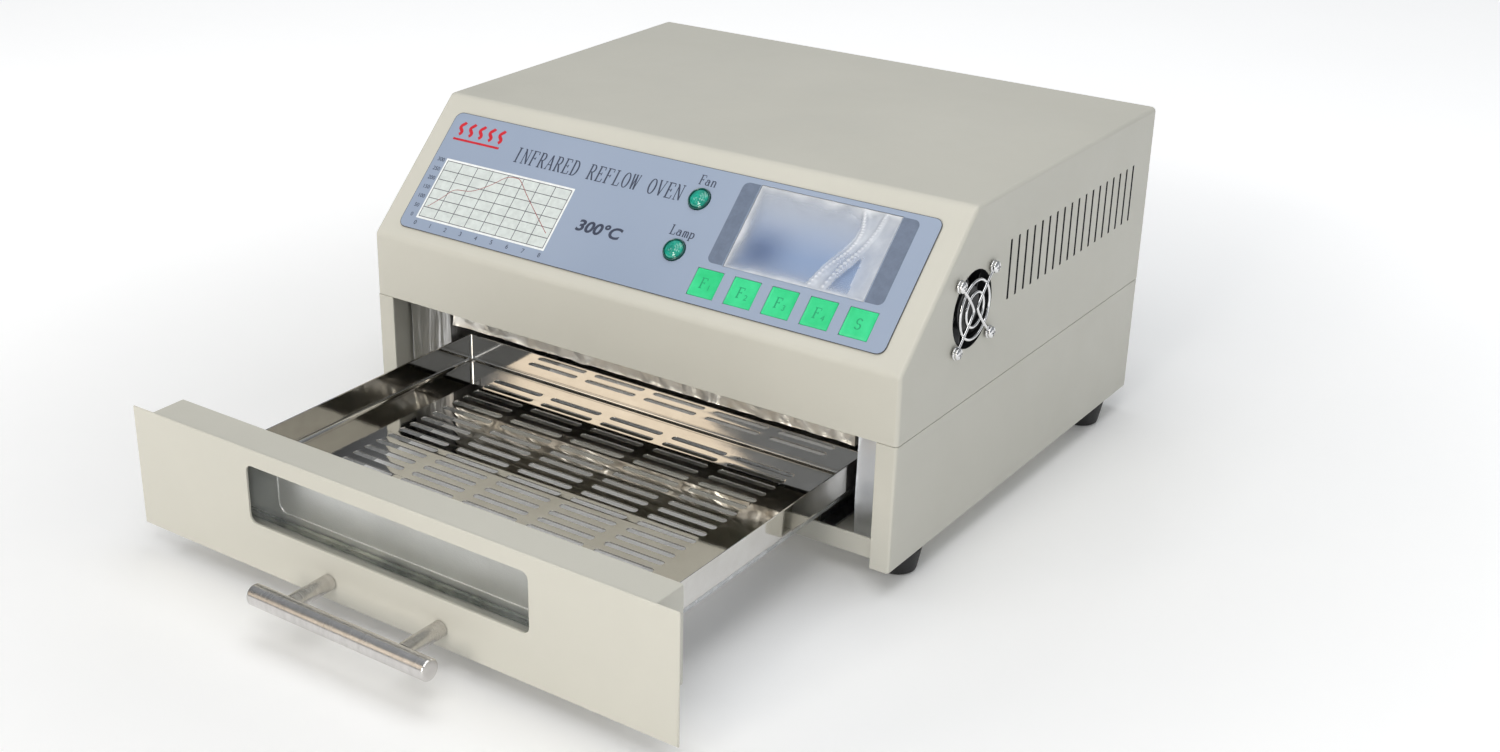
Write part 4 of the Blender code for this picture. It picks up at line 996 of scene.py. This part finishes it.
def make_keys():
    """Green keys a little below the label, with a shallow dished face and a faint serif label."""
    for label, letter, small in (("f1", "F", "1"), ("f2", "F", "2"), ("f3", "F", "3"), ("f4", "F", "4"),
                                 ("s", "S", "")):
        node = f"key_{label}"
        low, high, middle = panel_place(node)
        half = 0.00718
        top = high.z - 0.0004
        rim, dish, corner = 0.0005, 0.00012, 0.0007
        loops = []
        for inset, w in ((0.0012, top - 0.003), (0.0, top - 0.003), (0.0, top - 0.0003), (0.0001, top - 0.0001),
                         (0.00025, top), (rim, top), (rim + 0.0003, top - dish), (rim + 0.0014, top - dish)):
            size = half - inset
            turns = rounded(-size, size, -size, size, max(corner - inset * 0.6, 0.0002), 4)
            loops.append([(middle.x + x, middle.y + y, w) for x, y in turns])
        x, y = middle.x, middle.y
        stem = box((x - 0.002, y - 0.002, low.z), (x + 0.002, y + 0.002, top - 0.0028))
        flange = box((low.x, y - half + 0.001, top - 0.004), (high.x, y + half - 0.001, top - 0.0026), 0.0002)
        on_panel(f"{node}_fine", merged([skin(loops), stem, flange]), GREEN_KEY, (node,), node)
        face = top - dish
        left = x - (0.0028 if small else 0.0019)
        item = serif_words(f"{node}_label", letter, left, y - 0.0026, 0.0038, 0.0052, KEY_INK, face, 1.0,
                           0.0036)
        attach(item, node)
        if small:
            item = lettering(f"{node}_number", small, (x + 0.0027, y - 0.0018), 0, 0.0028, KEY_INK, face)
            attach(item, node)


def make_indicators():
    """Round lamps: a thin dark rim round a domed green lens with fine ribs in its dome."""
    for node in ("fan_indicator", "lamp_indicator"):
        low, high, middle = panel_place(node)
        reach = 0.0057
        lens = 0.0049
        place = shift(middle.x, middle.y, 0.0)
        rim = [(lens - 0.0003, low.z), (lens - 0.0003, -0.001), (reach, -0.001), (reach, 0.0008),
               (reach - 0.0001, 0.0011), (reach - 0.0003, 0.0012), (lens + 0.0002, 0.001), (lens, 0.0004),
               (lens - 0.0001, -0.0002)]
        on_panel(f"{node}_rim", moved(turned(rim, 48), place), LENS_RIM, (node,))
        dome = [(lens - 0.0001, -0.0002), (lens - 0.0001, 0.0005)]
        for k in range(1, 12):
            angle = radians(90 * k / 12)
            ripple = 0.00009 * cos(k * pi)
            dome.append(((lens - 0.0001) * cos(angle), 0.0005 + (0.0015 + ripple) * sin(angle)))
        on_panel(f"{node}_lens", moved(turned(dome, 40), place), LENS, sharp=16)


# ---- drawer ----------------------------------------------------------------------------------
def make_handle():
    low, high, middle = extent("handle_bar")
    radius = (high.z - low.z) / 2
    half = (high.x - low.x) / 2
    profile = [(radius * 0.55, -half + 0.0001), (radius * 0.8, -half), (radius * 0.93, -half + 0.00015)]
    profile += [(radius, -half + 0.0007), (radius, -half + 0.0009)]
    profile += [(r, -z) for r, z in reversed(profile)]
    stand_in("handle_bar", moved(turned(profile, 72), shift(*middle) @ turn("Y")), BAR_STEEL, 35)
    for side in ("left", "right"):
        refined(f"handle_post_{side}", 0.0002, POST_STEEL)


def make_tray():
    """Polished tray: upright walls with a rounded rim, and a floor with round-ended slots."""
    low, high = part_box("work_tray")
    sheet = 0.0007
    bend = 0.0023
    edge = 0.004
    floor_z = low.z

    def loop(inset, z):
        half = high.x - inset
        corner = max(0.0022 - inset * 0.6, 0.0004)
        return [(x, y, z) for x, y in rounded(-half, half, low.y + inset, high.y - inset, corner, 4)]

    profile = [(edge, floor_z), (bend, floor_z)]
    arc = [radians(90 * k / 6) for k in range(1, 7)]
    profile += [(bend * (1 - sin(a)), floor_z + bend * (1 - cos(a))) for a in arc]
    profile += [(0.0, high.z - 0.0003), (0.0001, high.z - 0.0001), (0.0003, high.z), (0.0005, high.z - 0.00005),
                (sheet, high.z - 0.0003)]
    inner = bend - sheet
    profile += [(bend - inner * sin(a), floor_z + bend - inner * cos(a)) for a in reversed(arc)]
    profile += [(bend, floor_z + sheet), (edge, floor_z + sheet)]
    walls = skin([loop(inset, z) for inset, z in profile], closed=True)
    inset = edge + 0.00002
    outlines = [rounded(-(high.x - inset), high.x - inset, low.y + inset, high.y - inset, 0.0004, 1)]
    for column in range(5):
        x = (column - 2) * 0.038
        for row in range(19):
            y = high.y - 0.015 - row * 0.008
            outlines.append(rounded(x - 0.01575, x + 0.01575, y - 0.0017, y + 0.0017, 0.00165, 5))
    floor = filled(outlines, floor_z, floor_z + sheet, 0.00028)
    flat_shaded(stand_in("work_tray", walls, MIRROR, 30, "work_tray_walls"))
    flat_shaded(show("work_tray_floor", floor, MIRROR, "drawer", sharp=35))
    refined("tray_frame", 0.0003)


def make_slides():
    for side in ("left", "right"):
        refined(f"moving_rail_{side}", 0.0002)
        refined(f"fixed_rail_{side}", 0.0002)
        refined(f"ball_cage_{side}", 0.0002)
        low, high, middle = extent(f"ball_cage_{side}")
        balls = []
        count = 7
        for k in range(count):
            y = low.y + 0.004 + (high.y - low.y - 0.008) * k / (count - 1)
            for z in (low.z + 0.0012, high.z - 0.0012):
                ball = bmesh.new()
                bmesh.ops.create_uvsphere(ball, u_segments=14, v_segments=8, radius=0.0011)
                balls.append(moved(ball, shift(middle.x, y, z)))
        show(f"slide_balls_{side}", merged(balls), CHROME, f"ball_cage_{side}", sharp=80)


# ---- chamber ---------------------------------------------------------------------------------
def make_insulation():
    for node, depth, stretch, material, seed in (
            ("insulation_left", 0.0016, (1.0, 1.0, 0.14), FOIL_LEFT, 1.0),
            ("insulation_right", 0.0012, (0.5, 0.5, 0.22), FOIL_RIGHT, 2.0),
            ("insulation_front", 0.0014, (0.8, 1.0, 1.0), FOIL_FRONT, 3.0)):
        low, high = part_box(node)
        if node == "insulation_front":
            low.z -= 0.0035
        bm = crumpled(low, high, 0.0015, depth, seed, stretch, 60.0)
        stand_in(node, bm, material, 75)
    for node in ("insulation_top", "insulation_rear"):
        refined(node, 0.0006, FOIL)


def make_chamber():
    refined("chamber_liner", 0.0002, LINER_TINT_AND_SHADE)
    for side in ("left", "right"):
        refined(f"tube_bracket_{side}", 0.0001)
    refined("thermocouple", 0.0001)
    for number in range(1, 5):
        node = f"heater_tube_{number}"
        low, high, middle = extent(node)
        half = (high.x - low.x) / 2
        along_x = shift(*middle) @ turn("Y")
        cap = 0.015
        tube = half - cap + 0.001
        wall = [(0.005, -tube), (0.005, tube), (0.0041, tube), (0.0041, -tube)]
        stand_in(node, moved(turned(wall, 40, True), along_x), QUARTZ, name=f"{node}_quartz")
        for end in (-1, 1):
            profile = [(0.003, end * half), (0.0056, end * half), (0.006, end * (half - 0.0005)),
                       (0.006, end * (half - 0.005)), (0.0056, end * (half - 0.0054)),
                       (0.0056, end * (half - 0.006)), (0.006, end * (half - 0.0064)),
                       (0.006, end * (half - cap + 0.0004)), (0.0057, end * (half - cap))]
            show(f"{node}_cap_{'left' if end < 0 else 'right'}", moved(turned(profile, 36), along_x), CERAMIC,
                 "case")
        turns, ring = 70, 10
        reach = tube - 0.004
        points = [(0.003 * cos(tau * k / ring), 0.003 * sin(tau * k / ring),
                   -reach + 2 * reach * k / (turns * ring)) for k in range(turns * ring + 1)]
        show(f"{node}_coil", moved(swept(points, 0.0003, 5), along_x), COIL, "case", sharp=80)


# ---- fans and mains --------------------------------------------------------------------------
def make_side_fan():
    refined("side_fan_frame", 0.0002, name="side_fan_housing")
    refined("side_fan_rotor", 0.0002)
    low, high, middle = extent("side_fan_guard")
    wire = 0.00075
    lift = low.x + wire
    screws = [f"side_fan_screw_{number}" for number in range(1, 5)]
    centres = [extent(node)[2] for node in screws]
    reach = max(abs(c.z - middle.z) for c in centres)
    parts = []
    for radius in (0.0083, 0.014):
        points = [(lift, y, z) for y, z in circle(radius, 64, middle.y, middle.z)]
        parts.append(swept(points, wire, 10, closed=True))
    for side in (-1, 1):
        bow = 0.0018
        points = []
        for k in range(25):
            part = k / 24
            y = side * (bow + (reach - bow - 0.0018) * abs(2 * part - 1) ** 1.25)
            z = (2 * part - 1) * (reach - 0.0018)
            points.append((lift + 0.0004, middle.y + y, middle.z + z))
        parts.append(swept(points, wire, 10))
    for centre in centres:
        eye = [(lift + 0.0003, y, z) for y, z in circle(0.0025, 32, centre.y, centre.z)]
        parts.append(swept(eye, wire, 10, closed=True))
    stand_in("side_fan_guard", merged(parts), CHROME, 70)
    head = 0.0016
    for node in screws:
        a, b, centre = extent(node)
        place = shift(b.x - head, centre.y, centre.z) @ turn("Y")
        shank = turned([(0.0013, -(b.x - a.x) + head), (0.0014, 0.0)], 20)
        stand_in(node, moved(merged([cross_screw(0.0029, head), shank]), place), CHROME)


def make_rear_fittings():
    refined("exhaust_fan_frame", 0.0003, name="exhaust_fan_housing")
    refined("exhaust_fan_rotor", 0.0003)
    refined("exhaust_fan_guard", 0.0001)
    for node in ("power_inlet", "power_switch_frame", "power_switch_rocker", "fuse_holder"):
        refined(node, 0.00025)


def make_boards():
    refined("control_board", 0.0001)
    refined("power_board", 0.0002)


# ---- stage -----------------------------------------------------------------------------------
# Floor glow strengths; the low glow under the oven is a painted shadow round it.
FLOOR_GLOW_WITH_PAINTED_SHADOW = (0.08, 0.44)      # under the oven, and well away from it
SKY = 0.33
# Each softbox: name, place, point it faces, width, height, power, colour.
SOFTBOXES = (
    ("softbox_front_left", (-1.69, -2.2, 1.25), (0.0, 0.0, 0.05), 0.46, 1.6, 3.7, (1.0, 0.83, 0.62)),
    ("softbox_front", (0.02, -3.4, 1.15), (0.0, 0.0, 0.1), 1.2, 1.2, 43.0, (1.0, 0.95, 0.87)),
    ("softbox_front_high", (0.45, -0.95, 1.5), (0.0, 0.0, 0.08), 1.0, 0.6, 6.0, (1.0, 0.99, 0.98)),
    ("softbox_top", (0.00, 0.1, 1.65), (0.0, 0.1, 0.06), 1.4, 1.2, 9.8, (1.0, 1.0, 1.0)),
)


def make_stage():
    bm = bmesh.new()
    bmesh.ops.create_grid(bm, x_segments=8, y_segments=8, size=6.0)
    mesh = written("floor", bm)
    ground = Wiring("pale_floor", Emission_Color=(1.0, 1.0, 1.0, 1.0))
    patches = ground.noise(ground.place(), 2.0, 5.0, 0.6)
    fine = ground.noise(ground.place(), 60.0, 3.0)
    ground.feed("Base Color", ground.wander(patches, ((0.93, 0.93, 0.93), (0.95, 0.95, 0.95))))
    ground.feed("Roughness", ground.span(ground.blend(0.5, patches, fine), 0.55, 0.65))
    away = ground.node("VectorMath", {0: ground.place((1.2, 1.0, 1.0))}, operation="LENGTH").outputs["Value"]
    # The glow drops near the oven: a painted shadow.
    ground.feed("Emission Strength", ground.span(away, *FLOOR_GLOW_WITH_PAINTED_SHADOW, 0.28, 0.7))
    mesh.materials.append(ground.material)
    floor = placed("floor", mesh)
    floor.location = (0.0, 0.0, CAD_LOW.z - 0.0004)
    for name, place, target, wide, tall, power, colour in SOFTBOXES:
        light = bpy.data.lights.new(name, "AREA")
        light.shape = "RECTANGLE"
        light.size = wide
        light.size_y = tall
        light.energy = power
        light.color = colour
        lamp = placed(name, light)
        lamp.location = place
        lamp.rotation_euler = (Vector(place) - Vector(target)).to_track_quat("Z", "Y").to_euler()
        lamp.visible_camera = False
    make_world()
    bpy.context.scene.view_settings.view_transform = "Standard"


def make_world():
    """Pale studio all round, with an unlit corner to the left that the polished tray picks up."""
    world = bpy.data.worlds.new("studio")
    world.use_nodes = True
    sky = Nodes(world.node_tree)
    sky.tree.nodes.clear()
    where = sky.node("SeparateXYZ", {0: sky.node("TexCoord").outputs["Generated"]}).outputs
    left = sky.span(where[0], 1.0, 0.0, -0.66, -0.58)
    corner = sky.math("MULTIPLY", left, sky.span(where[2], 1.0, 0.0, 0.55, 0.7))
    tone = sky.blend(corner, (0.94, 0.985, 1.03, 1.0), (0.13, 0.13, 0.135, 1.0))
    studio = sky.node("Background", {"Color": tone, "Strength": SKY}).outputs[0]
    white = sky.node("Background", {"Color": (1.0, 1.0, 1.0, 1.0), "Strength": 1.0}).outputs[0]
    seen = sky.node("LightPath").outputs["Is Camera Ray"]
    sky.node("OutputWorld", {"Surface": sky.node("MixShader", {0: seen, 1: studio, 2: white}).outputs[0]})
    bpy.context.scene.world = world


def make_camera():
    data = bpy.data.cameras.new("camera")
    data.lens = 46.295
    data.sensor_width = 36.0
    data.shift_x = 0.07785
    data.shift_y = 0.00949
    data.clip_start = 0.02
    camera = placed("camera", data)
    camera.location = (0.51396, -0.70711, 0.4468)
    camera.rotation_euler = (radians(90 - 24.392), 0.0, radians(36.65))
    bpy.context.scene.camera = camera


make_casing()
make_feet()
make_prints()
make_screen_face()
make_screen_film()
make_keys()
make_indicators()
make_handle()
make_tray()
make_slides()
make_insulation()
make_chamber()
make_side_fan()
make_rear_fittings()
make_boards()
make_stage()
make_camera()
